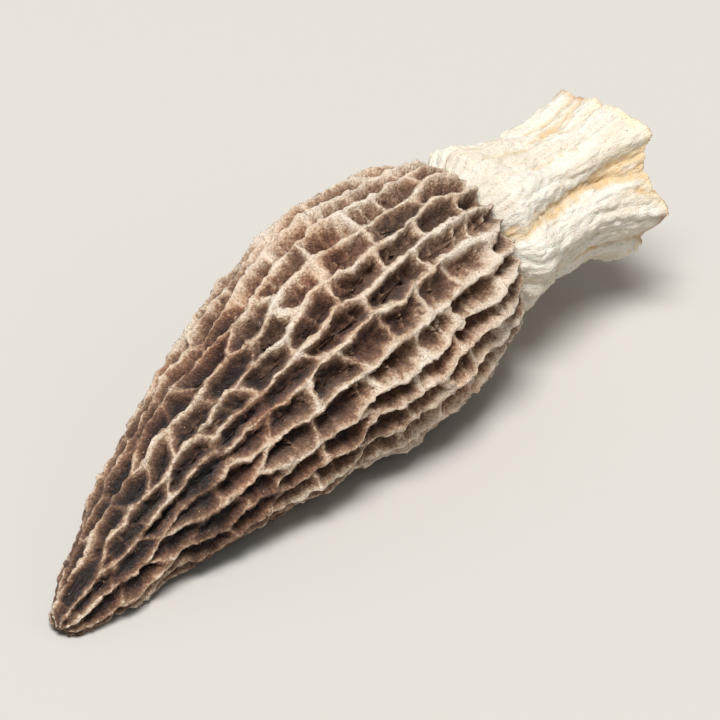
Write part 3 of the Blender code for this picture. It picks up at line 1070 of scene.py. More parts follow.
    def spread_over(self, ring: Array) -> tuple[Array, Array, float]:
        """Rolls a pit's outline out flat.

        Args:
            ring: Numbers of the crest points round the pit.

        Returns:
            The outline in metres, the point of the pit's spine that each of its points faces, and the radius.
        """
        angle = self.crests.angle[ring]
        angle = angle[0] + wrap(angle - angle[0])
        height = self.crests.height[ring]
        radius = float(self.form.cap_radius(self.net.distance(height.mean())))
        flat = np.stack((angle * radius, height * radius * self.net.pit_stretch), axis=1)
        heart = 0.5 * (flat.mean(axis=0) + 0.5 * (flat.min(axis=0) + flat.max(axis=0)))
        spread = flat - heart
        _, axes = np.linalg.eigh(spread.T @ spread)
        along, across = spread @ axes[:, 1], spread @ axes[:, 0]
        half_spine = self.spine_share * max(np.ptp(along) - np.ptp(across), 0.0)
        spine = heart + np.outer(along * half_spine / np.abs(along).max(), axes[:, 1])
        return flat, spine, radius

    def shape(self, points: Array, flat: Array, ring: Array, owner: Array, full: float,
              veins: list[Vein]) -> tuple[Array, Array]:
        """Depth of points inside one pit.

        Args:
            points: The points in the pit's flat plan.
            flat: The pit's outline.
            ring: Numbers of the crest points of the outline.
            owner: For each step of the outline, the edge of the net that it belongs to.
            full: Depth of the pit at its middle.
            veins: Low ridges over the floor, each as two ends and the depth of its back.

        Returns:
            The depth of each point, and how near it is to a crest.
        """
        starts, ways = flat, np.roll(flat, -1, axis=0) - flat
        reach = np.einsum("psk,sk->ps", points[:, None] - starts, ways)
        least = 1e-18
        t = np.clip(reach / np.maximum((ways ** 2).sum(axis=1), least), 0.0, 1.0)
        gap = np.linalg.norm(points[:, None] - starts - t[:, :, None] * ways, axis=2)
        width, sink = self.crests.half_width[ring], self.crests.sink[ring]
        past = gap - width - t * (np.roll(width, -1) - width)
        back = sink + t * (np.roll(sink, -1) - sink)
        nearest, backs = [], []
        rows = np.arange(len(points))
        for edge in range(owner.max() + 1):
            steps = np.flatnonzero(owner == edge)
            best = steps[past[:, steps].argmin(axis=1)]
            nearest.append(past[rows, best])
            backs.append(back[rows, best])
        nearest, backs = np.array(nearest), np.array(backs)
        pull = np.exp(-(nearest - nearest.min(axis=0)) / self.fillet)
        past = nearest.min(axis=0) - self.fillet * np.log(pull.sum(axis=0))
        back = (backs * pull).sum(axis=0) / pull.sum(axis=0)
        mean_width = width.mean()
        crown = self.crown * np.clip(1.0 + past / mean_width, 0.0, 1.0) ** 2
        run = self.run_for(full)
        brink = ease(-self.wall_start, 1.0, 0.0)
        wall = np.maximum(ease(-self.wall_start, 1.0, past / run) - brink, 0.0) / (1.0 - brink)
        floor = full * (1.0 - self.dish * (1.0 - ease(self.dish_from, self.dish_to, past / run)))
        depth = back + crown + (floor - back - crown) * wall
        near = 1.0 - ease(*self.crest_fade, past / run)
        for start, end, vein_back in veins:
            way = end - start
            t = np.clip((points - start) @ way / (way @ way), 0.0, 1.0)
            gap = np.linalg.norm(points - start - t[:, None] * way, axis=1) - self.vein_half_width
            back = vein_back + self.vein_sag * full * (4.0 * t * (1.0 - t) - 0.5)
            vein = back + (self.vein_root * full - back) * ease(*self.vein_side, gap / self.vein_run)
            pull = np.exp(-depth / self.vein_fillet) + np.exp(-vein / self.vein_fillet)
            depth = -self.vein_fillet * np.log(pull)
            over = (1.0 - ease(*self.vein_fade, gap / self.vein_run)) * (1.0 - vein_back / full)
            near = np.maximum(near, over)
        return depth, near

    def draw_veins(self, flat: Array, full: float) -> list[Vein]:
        """Low ridges over a pit's floor, at uneven places across its length.

        Args:
            flat: The pit's outline.
            full: Depth of the pit at its middle.

        Returns:
            The two ends of each ridge and the depth of its back.
        """
        low, high = flat.min(axis=0), flat.max(axis=0)
        length = high[1] - low[1]
        count = int(length / self.vein_spacing)
        veins = []
        for i in range(count):
            y = low[1] + (i + self.rng.uniform(*self.vein_steps)) / (1 + count) * length
            skew = self.rng.uniform(-self.vein_skew, self.vein_skew)
            start, end = np.array((low[0], y - skew)), np.array((high[0], y + skew))
            veins.append((start, end, full * self.rng.uniform(*self.vein_backs)))
        return veins

    def sink_pit(self, outline: list[int]) -> None:
        """Sinks one pit from its crests: rows of points down its wall, then over its floor.

        Args:
            outline: The corners of the net round the pit.
        """
        ring, owner = [], []
        for edge, (a, b) in enumerate(around(outline)):
            numbers = self.crests.run(a, b)[:-1]
            ring += numbers
            owner += [edge] * len(numbers)
        ring, owner = np.array(ring), np.array(owner)
        flat, spine, radius = self.spread_over(ring)
        distance = float(self.net.distance(self.crests.height[ring].mean()))
        full = self.full_depth(distance) * (1.0 + self.rng.uniform(-1.0, 1.0) * self.uneven_depth)
        tone = self.rng.random()
        veins = self.draw_veins(flat, full)
        reach = np.linalg.norm(spine - flat, axis=1)
        wall_reach = self.crests.half_width[ring] + self.run_for(full) + self.foot_gap
        foot = np.minimum(wall_reach / reach, self.widest_foot)
        shares = [foot * row / self.wall_rows for row in range(1, self.wall_rows + 1)]
        shares += [blend(foot, self.last_row, row / self.floor_rows) for row in range(1, self.floor_rows + 1)]
        rows = [flat + (spine - flat) * share[:, None] for share in shares] + [spine.mean(axis=0)[None]]
        points = np.concatenate(rows)
        depth, edge = self.shape(points, flat, ring, owner, full, veins)
        angle, height = points[:, 0] / radius, points[:, 1] / (radius * self.net.pit_stretch)
        seats = straight_seats(self.net.distance(height), angle, np.full(len(angle), radius))
        share = depth / full
        crinkle = self.swellings.at(seats) + self.folds.creased(seats, self.fold_level)
        depth = depth + crinkle * ease(*self.crinkled, share) * full / self.pit_depth
        numbers = self.add_points(angle, height, depth, share, edge, tone)
        last = ring
        for row in range(len(shares)):
            fresh = numbers[row * len(ring):(row + 1) * len(ring)]
            self.skin.band(last, fresh)
            last = fresh
        self.skin.fan(last, numbers[-1])

    def add_ring(self, last: Array, points: Array, seats: Array, **values: float | Array) -> Array:
        """Adds a ring of points and the band of faces between it and the last one.

        Args:
            last: The numbers of the last ring's points.
            points: The new points.
            seats: Their places on the straight body.
            values: Their named values.

        Returns:
            The numbers of the new points.
        """
        ring = self.skin.add(points, seat=seats / MM, **values)
        self.skin.band(last, ring)
        return ring

    def close(self, last: Array, distance: float, **values: float) -> None:
        """Closes a ring with a point on the middle line, at this distance from the tip."""
        point = self.form.middle(np.array([distance]))
        self.skin.fan(last, self.skin.add(point, seat=point / MM, **values)[0])

    def close_tip(self) -> None:
        """Closes the tip with a small dome, on which the ribs run together."""
        last = self.crests.ring(self.net.heights[0])
        angle, sink = self.crests.angle[last], self.crests.sink[last]
        edge = self.form.cap_radius(self.net.top)
        groove = sink / self.crests.tip_sag
        looks = {"tone": self.tip_tone, "open": 1.0}
        for row in range(1, self.tip_rows + 1):
            lift = 0.5 * math.pi * row / (self.tip_rows + 1)
            fade = math.cos(lift)
            level = self.net.top * (1.0 - self.dome_height * math.sin(lift) ** self.dome_rise)
            distance = np.full(len(angle), level)
            radius = np.full(len(angle), edge * fade ** self.dome_waist)
            seats = straight_seats(distance, angle, radius)
            inner = radius * self.form.roundness(distance, angle)
            inner = inner + self.tip_wrinkles.at(seats) * fade ** 0.5 - sink * fade ** self.groove_fade
            distance = distance + self.groove_slant * sink * math.sin(lift) * fade
            points = self.form.place(distance, angle, inner)
            last = self.add_ring(last, points, seats, depth=self.groove_depth * groove,
                                 edge=1.0 - self.groove_edge * groove, **looks)
        self.close(last, self.apex_at * self.net.top, depth=self.apex_depth, edge=self.apex_edge, **looks)

    def turn_under(self) -> Array:
        """Turns the lower edge in towards the stem.

        Returns:
            The numbers of the last ring of points.
        """
        last = self.crests.ring(self.net.heights[-1])
        angle, sink = self.crests.angle[last], self.crests.sink[last]
        length, edge = self.form.cap_length, self.form.cap_radius(self.form.cap_length)
        for back, inward in self.turned_edge:
            distance = length - back - self.sags_back * sink
            radius = (edge - inward - self.sags_in * sink) * self.form.roundness(distance, angle)
            points, seats = self.form.place(distance, angle, radius), straight_seats(distance, angle, radius)
            depth = blend(self.turned_depth, 1.0, inward / self.turned_edge[-1][1])
            last = self.add_ring(last, points, seats, depth=depth, edge=self.turned_paleness, tone=MEAN_TONE,
                                 open=0.0)
        return last

    def line_hollow(self, last: Array) -> None:
        """Wall of the hollow, from the lower edge up to near the tip.

        Args:
            last: The ring of points that the edge ends with.
        """
        looks = {"depth": self.hollow_depth, "edge": 0.0, "tone": MEAN_TONE, "open": 0.0}
        angle = self.crests.angle[self.crests.ring(self.net.heights[-1])]
        lower = self.form.cap_length - self.wall
        for row in range(self.hollow_rows):
            level = blend(lower, self.hollow_top, row / (self.hollow_rows - 1))
            behind_edge = 1.0 - (lower - level) / self.thick_edge
            reach_in = blend(self.full_depth(level) + self.wall, self.wall_at_edge, behind_edge)
            distance = np.full(len(angle), level)
            radius = (self.form.cap_radius(distance) - reach_in) * self.form.roundness(distance, angle)
            seats = straight_seats(distance, angle, radius)
            points = self.form.place(distance, angle, radius + self.hollow_swellings.at(seats))
            last = self.add_ring(last, points, seats, **looks)
        self.close(last, self.hollow_top - self.hollow_crown, **looks)


@dataclass
class Stem:
    """The stem: a short tube, folded and wrinkled lengthwise, with a torn cut end."""

    form: Form
    phase: float
    steps_round: int = 300
    rows: int = 96
    inner_rows: int = 56
    rim_rows: int = 5
    # How far the tube starts up inside the cap, how it narrows there, and how far the cap hangs over it.
    starts_in: float = 1.3 * MM
    narrows_in: float = 1.1
    overhang: float = 0.35 * MM
    wall: float = 1.15 * MM
    mean_radius: float = 5.2 * MM
    # Lengthwise folds: how many, and how high. They deepen down the stem, wander and sway to the sides, and
    # each set of them is turned against the others.
    folds: tuple[tuple[int, float], ...] = ((3, 0.55 * MM), (5, 0.75 * MM), (9, 0.45 * MM))
    fold_depth_at_cap: float = 0.55
    fold_level: float = 0.64
    fold_wander: float = 0.35
    fold_wander_rate: float = 190.0
    fold_wander_turn: float = 1.7
    fold_sway: float = 0.5
    fold_turn: float = 1.3
    # Lumps, read over a tube of radius one on which a step along it stands for so much of the stem.
    lumps: Ripple = Ripple(0.30 * MM, 0.625)
    lump_step: float = 4.0 * MM
    # The torn end: how many torn points, how long, how far they flare, and how sharp and uneven they are.
    ragged_points: int = 5
    ragged_length: float = 1.0 * MM
    ragged_flare: float = 0.7 * MM
    ragged_level: float = 0.4
    raggedness: float = 1.6
    ragged_beat: float = 1.3
    mean_point: float = 0.7
    flares_late: int = 4
    thin_end: float = 0.25
    # Wrinkles and pleats with sharp creases, and swellings. The pleats deepen from the first to the second
    # distance past the cap. All are calmer inside the tube.
    crease_gain: float = 1.7
    crease_level: float = 0.35
    wrinkles: tuple[Ripple, Ripple] = (
        Ripple(0.30 * MM, 1.05 * MM, 13.0, 0.22), Ripple(0.10 * MM, 0.42 * MM, 29.0, 0.5),
    )
    swellings: Ripple = Ripple(0.10 * MM, 1.6 * MM, 7.0)
    pleats: Ripple = Ripple(0.55 * MM, 2.3 * MM, 61.0, 0.12)
    pleat_level: float = 0.4
    pleats_at_cap: float = 0.25
    pleats_from: Span = (2.0 * MM, 9.0 * MM)
    calm_inside: float = 0.35
    # The cut's face: its frays, how far they reach out and swell it, its bulge, and the rim beside it that
    # counts as cut in part.
    frays: tuple[Ripple, Ripple] = (Ripple(0.30 * MM, 0.55 * MM, 41.0), Ripple(0.15 * MM, 0.22 * MM, 2.0))
    fray_reach: float = 0.8
    fray_swell: float = 0.25
    rim_bulge: float = 0.30 * MM
    near_rim: float = 0.8 * MM
    rim_cut: float = 0.6
    # How dark the creases are, partly as painted shade: the level of even skin, and the sizes of a full fold
    # and a full wrinkle. Less meal clings in them.
    even_crease: float = 0.42
    full_fold: float = 1.2 * MM
    full_wrinkle: float = 0.5 * MM
    crease_bare: float = 0.8

    def fold_height(self, past: Array, angle: Array) -> Array:
        """Height of the lengthwise folds: round backs, and sharp creases between them.

        Args:
            past: Distances past the cap's edge.
            angle: Angles round the stem.

        Returns:
            The height of each point over a round stem.
        """
        depth = self.fold_depth_at_cap + (1.0 - self.fold_depth_at_cap) * past / self.form.stem_length
        height = np.zeros(len(angle))
        for count, size in self.folds:
            wander = self.fold_wander * np.sin(self.fold_wander_turn * count + self.fold_wander_rate * past)
            wander += self.fold_sway * np.sin(angle + count)
            backs = np.abs(np.cos(0.5 * count * angle + self.fold_turn * count + wander))
            height += size * (backs - self.fold_level)
        seats = straight_seats(past / self.lump_step, angle, np.ones(len(angle)))
        return height * depth + self.lumps.at(seats)

    def torn(self, angle: Array) -> Array:
        """How far the cut end is torn out, from 0 between two torn points to 1 at the longest.

        Args:
            angle: Angles round the stem.

        Returns:
            The share for each angle.
        """
        beat = self.ragged_points * angle + self.ragged_beat * np.sin(angle + self.phase) + self.phase
        tall = self.mean_point + (1.0 - self.mean_point) * np.sin(2.0 * (angle + self.phase))
        return tall * (0.5 + 0.5 * np.cos(beat)) ** self.raggedness

    def ring(self, skin: Skin, past: float, inner: float, cut: float) -> Array:
        """Adds one ring of the tube.

        Args:
            skin: The surface that it goes into.
            past: Its distance past the cap's edge.
            inner: 0 on the outside, 1 on the wall of the hollow, and between them on the cut.
            cut: 1 on the cut face, 0 away from it.

        Returns:
            The numbers of its points.
        """
        angle = TURN * np.arange(self.steps_round) / self.steps_round
        level = np.full(len(angle), past)
        outside = np.maximum(level, 0.0)
        near_cut = (outside / self.form.stem_length) ** self.flares_late
        torn = self.torn(angle) * near_cut
        smooth = self.form.stem_outline.at(outside) - self.narrows_in * np.maximum(-level, 0.0)
        folded = self.fold_height(outside, angle)
        seats = straight_seats(level + self.form.cap_length, angle, np.full(len(angle), self.mean_radius))
        deepening = blend(self.pleats_at_cap, 1.0, ease(*self.pleats_from, outside))
        wrinkled = sum(ripple.creased(seats, self.crease_level, self.crease_gain) for ripple in self.wrinkles)
        wrinkled += self.swellings.at(seats)
        wrinkled += self.pleats.creased(seats, self.pleat_level, self.crease_gain) * deepening
        thick = self.wall * (1.0 - self.thin_end * near_cut)
        calmed = wrinkled * (1.0 - self.calm_inside * inner)
        radius = smooth + folded + self.ragged_flare * torn + calmed - thick * inner
        frayed = sum(ripple.at(seats) for ripple in self.frays) * cut
        bulge = self.rim_bulge * math.sin(math.pi * inner) * cut
        ragged = self.ragged_length * (torn - self.ragged_level * near_cut)
        reach = self.form.cap_length + self.overhang + level + ragged + self.fray_reach * frayed + bulge
        # How deep a point lies in a crease; the material tans it there, partly as painted shade.
        crease = np.clip(self.even_crease - folded / self.full_fold - wrinkled / self.full_wrinkle, 0.0, 1.0)
        points = self.form.place(reach, angle, radius + self.fray_swell * frayed)
        meal = (1.0 - math.ceil(inner)) * (1.0 - self.crease_bare * crease)
        return skin.add(points, crease=crease, cut=cut, inner=inner, past=past / MM, open=meal,
                        seat=seats / MM)

    def grow(self, rest: Rest) -> bpy.types.Object:
        """Builds the stem as one closed tube.

        Args:
            rest: How the mushroom lies.

        Returns:
            The smooth stem.
        """
        skin = Skin()
        length, top = self.form.stem_length, -self.starts_in
        rings = []
        for row in range(self.rows + 1):
            rings.append(self.wall_ring(skin, top + (length - top) * row / self.rows, 0.0))
        for row in range(1, self.rim_rows):
            rings.append(self.ring(skin, length, row / self.rim_rows, 1.0))
        for row in range(self.inner_rows + 1):
            rings.append(self.wall_ring(skin, length + (top - length) * row / self.inner_rows, 1.0))
        for first, second in around(rings):
            skin.band(first, second)
        return skin.build("stem_smooth", rest)

    def wall_ring(self, skin: Skin, past: float, inner: float) -> Array:
        """Adds a ring of the outside or of the hollow's wall, frayed as it nears the rim."""
        length = self.form.stem_length
        return self.ring(skin, past, inner, self.rim_cut * float(ease(length - self.near_rim, length, past)))


class Growth:
    """A Geometry Nodes tree with named sizes, which is run on an object and turned into its mesh."""

    def __init__(self, name: str) -> None:
        """Starts the tree with geometry in and geometry out.

        Args:
            name: Name of the tree and of the piece that it makes.
        """
        self.name = name
        self.tree = bpy.data.node_groups.new(name, "GeometryNodeTree")
        for side in ("INPUT", "OUTPUT"):
            self.tree.interface.new_socket("Geometry", in_out=side, socket_type="NodeSocketGeometry")
        self.start = add(self.tree, "NodeGroupInput")
        self.sizes: dict[str, float] = {}

    def size(self, name: str, value: float) -> bpy.types.NodeSocket:
        """Adds a named input to the tree.

        Args:
            name: Name of the input.
            value: What it holds. A whole number makes a whole-number input.

        Returns:
            The socket that carries it.
        """
        kind = "NodeSocketInt" if isinstance(value, int) else "NodeSocketFloat"
        self.tree.interface.new_socket(name, in_out="INPUT", socket_type=kind)
        self.sizes[name] = value
        return self.start.outputs[name]

    def end(self, geometry: bpy.types.Node, material: bpy.types.Material) -> None:
        """Ends the tree: instances are made real, kept above the floor, and given their material.

        Args:
            geometry: The node that the geometry comes from.
            material: The material that it gets.
        """
        real = add(self.tree, "GeometryNodeRealizeInstances", {0: geometry})
        here = add(self.tree, "ShaderNodeSeparateXYZ", {0: add(self.tree, "GeometryNodeInputPosition")})
        above = add(self.tree, "ShaderNodeMath", {0: here.outputs[2], 1: 0.0}, operation="MAXIMUM")
        kept = add(self.tree, "ShaderNodeCombineXYZ", {0: here.outputs[0], 1: here.outputs[1], 2: above})
        laid = add(self.tree, "GeometryNodeSetPosition", {"Geometry": real, "Position": kept})
        dressed = add(self.tree, "GeometryNodeSetMaterial", {"Geometry": laid, "Material": material})
        add(self.tree, "NodeGroupOutput", {0: dressed})

    def run(self, carrier: bpy.types.Object) -> bpy.types.Object:
        """Runs the tree on an object.

        Args:
            carrier: The object whose mesh goes in. It is left as it was.

        Returns:
            A new object with a plain mesh.
        """
        modifier = carrier.modifiers.new(self.name, "NODES")
        modifier.node_group = self.tree
        for item in self.tree.interface.items_tree:
            if item.in_out == "INPUT" and item.name in self.sizes:
                modifier[item.identifier] = self.sizes[item.name]
        graph = bpy.context.evaluated_depsgraph_get()
        mesh = bpy.data.meshes.new_from_object(carrier.evaluated_get(graph))
        carrier.modifiers.remove(modifier)
        mesh.name = self.name
        return new_object(self.name, mesh)


@dataclass
class Crinkle:
    """Skin that crinkles as it dries: sharp creases between low swellings, and a finer roughness over them.

    The creases are drawn out along the body, which lies nearly along X.
    """

    crease_spacing: float
    crease_height: float
    fine_length: float
    fine_height: float
    stretch: float = 1.5
    swelling_level: float = 0.09
    detail: float = 1.5

    def over(self, smooth: bpy.types.Object, name: str, material: bpy.types.Material) -> bpy.types.Object:
        """Crinkles a smooth piece and gives the new piece that takes its place.

        Args:
            smooth: The piece as it was grown. It is removed.
            name: Name of the crinkled piece.
            material: Its material.

        Returns:
            The crinkled piece.
        """
        growth = Growth(name)
        tree = growth.tree
        along = growth.size("Stretch along the body", self.stretch)
        shrink = add(tree, "ShaderNodeMath", {0: 1.0, 1: along}, operation="DIVIDE")
        scale = add(tree, "ShaderNodeCombineXYZ", {0: shrink, 1: 1.0, 2: 1.0})
        here = add(tree, "GeometryNodeInputPosition")
        here = add(tree, "ShaderNodeVectorMath", {0: here, 1: scale}, operation="MULTIPLY")
        parts = []
        for part, length, height, folded in (("Crease", self.crease_spacing, self.crease_height, True),
                                             ("Fine", self.fine_length, self.fine_height, False)):
            length, height = growth.size(f"{part} length", length), growth.size(f"{part} height", height)
            per_metre = add(tree, "ShaderNodeMath", {0: 1.0, 1: length}, operation="DIVIDE")
            pattern = add(tree, "ShaderNodeTexNoise", {
                "Vector": here, "Scale": per_metre, "Detail": self.detail,
            })
            level = add(tree, "ShaderNodeMath", {0: pattern, 1: 0.5}, operation="SUBTRACT")
            if folded:
                level = add(tree, "ShaderNodeMath", {0: level}, operation="ABSOLUTE")
                level = add(tree, "ShaderNodeMath", {0: level, 1: self.swelling_level}, operation="SUBTRACT")
            parts.append(add(tree, "ShaderNodeMath", {0: level, 1: height}, operation="MULTIPLY"))
        total = add(tree, "ShaderNodeMath", {0: parts[0], 1: parts[1]}, operation="ADD")
        normal = add(tree, "GeometryNodeInputNormal")
        offset = add(tree, "ShaderNodeVectorMath", {0: normal, "Scale": total}, operation="SCALE")
        moved = add(tree, "GeometryNodeSetPosition", {"Geometry": growth.start, "Offset": offset})
        growth.end(moved, material)
        made = growth.run(smooth)
        bpy.data.objects.remove(smooth)
        return made


@dataclass(frozen=True)
class GrainSizes:
    """Sizes of one kind of grain, and the value of the surface that says where it clings."""

    piece: str
    where: str
    per_square_mm: float
    apart: float
    smallest: float
    largest: float
    flatness: float
    seed: int
    tilt: float = 0.4


class Grain(Enum):
    """Kinds of grain that cling to the dried mushroom."""

    MEAL = GrainSizes(
        piece="stem_meal", where="open", per_square_mm=6.0, apart=0.20 * MM,
        smallest=0.03 * MM, largest=0.10 * MM, flatness=0.45, seed=3,
    )
    CRUMB = GrainSizes(
        piece="stem_crumbs", where="cut", per_square_mm=4.0, apart=0.25 * MM,
        smallest=0.03 * MM, largest=0.11 * MM, flatness=0.7, seed=5,
    )
    DUST = GrainSizes(
        piece="cap_dust", where="open", per_square_mm=0.25, apart=0.35 * MM,
        smallest=0.03 * MM, largest=0.09 * MM, flatness=0.6, seed=8,
    )

    def strewn(self, carrier: bpy.types.Object, material: bpy.types.Material) -> bpy.types.Object:
        """Strews these grains over a piece.

        Args:
            carrier: The piece that they cling to.
            material: Their material.

        Returns:
            All the grains as one piece.
        """
        sizes = self.value
        growth = Growth(sizes.piece)
        tree = growth.tree
        where = add(tree, "GeometryNodeInputNamedAttribute", {"Name": sizes.where}, data_type="FLOAT")
        spots = add(tree, "GeometryNodeDistributePointsOnFaces", {
            "Mesh": growth.start, "Density Factor": where, "Seed": growth.size("Seed", sizes.seed),
            "Density Max": growth.size("Grains a square metre", sizes.per_square_mm / MM ** 2),
            "Distance Min": growth.size("Least distance apart", sizes.apart),
        }, distribute_method="POISSON")
        grain = add(tree, "GeometryNodeMeshIcoSphere", {"Radius": 1.0, "Subdivisions": 1})
        smallest = growth.size("Smallest radius", sizes.smallest)
        largest = growth.size("Largest radius", sizes.largest)
        across, length = (
            add(tree, "FunctionNodeRandomValue", {"Min": smallest, "Max": largest, "Seed": seed})
            for seed in (1, 2)
        )
        flatness = growth.size("Flatness", sizes.flatness)
        thick = add(tree, "ShaderNodeMath", {0: across, 1: flatness}, operation="MULTIPLY")
        scale = add(tree, "ShaderNodeCombineXYZ", {0: across, 1: length, 2: thick})
        placed = add(tree, "GeometryNodeInstanceOnPoints", {
            "Points": spots, "Instance": grain, "Rotation": spots.outputs["Rotation"], "Scale": scale,
        })
        turn = add(tree, "FunctionNodeRandomValue", {
            "Min": (-sizes.tilt, -sizes.tilt, 0.0), "Max": (sizes.tilt, sizes.tilt, TURN), "Seed": 4,
        }, data_type="FLOAT_VECTOR")
        turned = add(tree, "GeometryNodeRotateInstances", {"Instances": placed, "Rotation": turn})
        growth.end(add(tree, "GeometryNodeSetShadeSmooth", {"Geometry": turned}), material)
        return growth.run(carrier)


def bare_material(name: str) -> bpy.types.Material:
    """New material with an empty node tree.

    Args:
        name: What the real material is.

    Returns:
        The material.
    """
    material = bpy.data.materials.new(name)
    material.use_nodes = True
    material.node_tree.nodes.clear()
    return material


@dataclass(frozen=True)
class CapFlesh:
    """Dried morel cap: matt shrunken flesh, like thin leather.

    Its crests are dusty tan, worn pale and partly painted highlight, its flanks reddish brown, and its pits
    dark brown down to their hearts, darker with depth partly as painted shade.
    Lengths are in millimetres on the real cap, where pits are about 4 long and 2 wide.
    """

    name: str = "dried morel cap"
    # The way from a pale crest, worn and partly painted highlight, down to the dark heart of a pit, partly
    # painted shade: how far along it, and the colour there.
    colours: tuple[tuple[float, str], ...] = (
        (0.0, "#e6d8c7"), (0.14, "#dbc9b4"), (0.27, "#cab49c"), (0.36, "#ad9176"), (0.46, "#8f6f56"),
        (0.62, "#6a4c36"), (0.84, "#472a18"), (1.0, "#22120a"),
    )
    # What moves a spot along that way: its depth, its nearness to a crest, and the tone of its pit. Depth
    # darkens it, partly as painted shade, and nearness to a crest pales it, partly as painted highlight.
    start: float = 0.46
    depth_weight: float = 0.62
    edge_weight: float = -0.34
    tone_weight: float = 0.18
    # The cap is blackest at its tip and pales towards its lower edge: distance from the tip, shift there.
    # This is partly the flesh's own paling and partly painted light: painted shade darkens the tip, and
    # painted light lifts the deep pits of the belly. Its pits pale most. Its crests are pale already, and
    # take a part of the shift.
    paling_and_painted_light: tuple[Place, Place] = ((10.0, 0.05), (30.0, -0.46))
    crest_part: float = 0.45
    # Patterns that move it too: length, detail and sway. Blotches are as long as a pit, stains as wide as
    # half of one, and streaks run down its walls.
    stains: tuple[Triple, ...] = ((4.2, 2.0, 0.14), (1.25, 3.0, 0.09), (0.33, 3.0, 0.07))
    # The flesh's own specks are finer than the picture can show, so they are drawn five times as coarse.
    specks: Triple = (0.22, 4.0, 0.10)
    # The values of a noise that give its full sway down and up.
    noise_span: Span = (0.33, 0.67)
    # Whole stretches of the cap that dried redder or blacker: length, where it starts, where it is full,
    # how strong it is there, and its colour.
    tints: tuple[tuple[float, float, float, float, str], ...] = (
        (5.9, 0.44, 0.66, 0.60, "#8f5232"), (4.5, 0.56, 0.70, 0.30, "#2a211d"),
    )
    dust: str = "#c2ae97"
    # Flecks of dust: their length, the noise where they start and are full, the depth where they are fewest,
    # and how strong they are on a crest and there.
    dust_fleck: float = 0.17
    fleck_span: Span = (0.60, 0.72)
    fewest_at: float = 0.8
    fleck_strength: Span = (0.5, 0.05)
    crease_spacing: float = 0.31
    crease_width: float = 0.22
    crease_depth: float = 0.045
    grain_size: float = 0.14
    grain_height: float = 0.15
    # Roughness of the palest and of the darkest flesh, and where along the way of the colours they are.
    rough_span: Span = (0.25, 1.0)
    roughness: Span = (0.62, 0.90)

    def make(self) -> bpy.types.Material:
        """Builds the material.

        Returns:
            The material of the cap.
        """
        material = bare_material(self.name)
        tree = material.node_tree
        depth, edge, tone = (add(tree, "ShaderNodeAttribute", attribute_name=name).outputs["Fac"]
                             for name in ("depth", "edge", "tone"))
        seat = add(tree, "ShaderNodeAttribute", attribute_name="seat").outputs["Vector"]
        spot = add(tree, "ShaderNodeTexCoord").outputs["Object"]
        spot = add(tree, "ShaderNodeMapping", {"Vector": spot, "Scale": (1.0 / MM,) * 3})
        level = self.start
        # Depth darkens the colour, partly as painted shade in the pits; nearness to a crest pales it, partly as
        # painted highlight.
        for value, weight in ((depth, self.depth_weight), (edge, self.edge_weight), (tone, self.tone_weight)):
            level = add(tree, "ShaderNodeMath", {0: value, 1: weight, 2: level}, operation="MULTIPLY_ADD")
        along = add(tree, "ShaderNodeSeparateXYZ", {0: seat}).outputs["Z"]
        # Paler towards the lower edge: partly the flesh's own paling, partly painted light and painted shade.
        (high, blackest), (low, palest) = self.paling_and_painted_light
        paling_and_painted_light = add(tree, "ShaderNodeMapRange", {0: along, 1: high, 2: low, 3: blackest, 4: palest})
        part = add(tree, "ShaderNodeMapRange", {0: depth, 3: self.crest_part})
        level = add(tree, "ShaderNodeMath", {0: paling_and_painted_light, 1: part, 2: level}, operation="MULTIPLY_ADD")
        low, high = self.noise_span
        for where, (length, detail, sway) in [(seat, stain) for stain in self.stains] + [(spot, self.specks)]:
            pattern = add(tree, "ShaderNodeTexNoise", {
                "Vector": where, "Scale": 1.0 / length, "Detail": detail,
            })
            part = add(tree, "ShaderNodeMapRange", {0: pattern, 1: low, 2: high, 3: -sway, 4: sway})
            level = add(tree, "ShaderNodeMath", {0: level, 1: part}, operation="ADD")
        colour = add(tree, "ShaderNodeValToRGB", {0: level}, stops=self.colours)
        for length, low, high, most, hue in self.tints:
            tint = add(tree, "ShaderNodeTexNoise", {"Vector": seat, "Scale": 1.0 / length, "Detail": 4.0})
            tint = add(tree, "ShaderNodeMapRange", {0: tint, 1: low, 2: high, 3: 0.0, 4: most})
            colour = add(tree, "ShaderNodeMix", {0: tint, "A": colour, "B": hue}, data_type="RGBA",
                         blend_type="SOFT_LIGHT")
        fleck = add(tree, "ShaderNodeTexNoise", {
            "Vector": spot, "Scale": 1.0 / self.dust_fleck, "Detail": 2.0, "Roughness": 0.7,
        })
        (low, high), (most, least) = self.fleck_span, self.fleck_strength
        worn = add(tree, "ShaderNodeMapRange", {0: depth, 1: 0.0, 2: self.fewest_at, 3: most, 4: least})
        fleck = add(tree, "ShaderNodeMapRange", {0: fleck, 1: low, 2: high, 3: 0.0, 4: worn})
        colour = add(tree, "ShaderNodeMix", {0: fleck, "A": colour, "B": self.dust}, data_type="RGBA")
        creases = add(tree, "ShaderNodeTexVoronoi", {"Vector": spot, "Scale": 1.0 / self.crease_spacing},
                      feature="DISTANCE_TO_EDGE")
        creases = add(tree, "ShaderNodeMapRange", {0: creases, 1: 0.0, 2: self.crease_width})
        leather = add(tree, "ShaderNodeBump", {"Height": creases, "Distance": self.crease_depth * MM})
        grain = add(tree, "ShaderNodeTexNoise", {
            "Vector": spot, "Scale": 1.0 / self.grain_size, "Detail": 4.0, "Roughness": 0.65,
        })
        bump = add(tree, "ShaderNodeBump", {
            "Height": grain, "Distance": self.grain_height * MM, "Normal": leather,
        })
        (low, high), (least, most) = self.rough_span, self.roughness
        rough = add(tree, "ShaderNodeMapRange", {0: level, 1: low, 2: high, 3: least, 4: most})
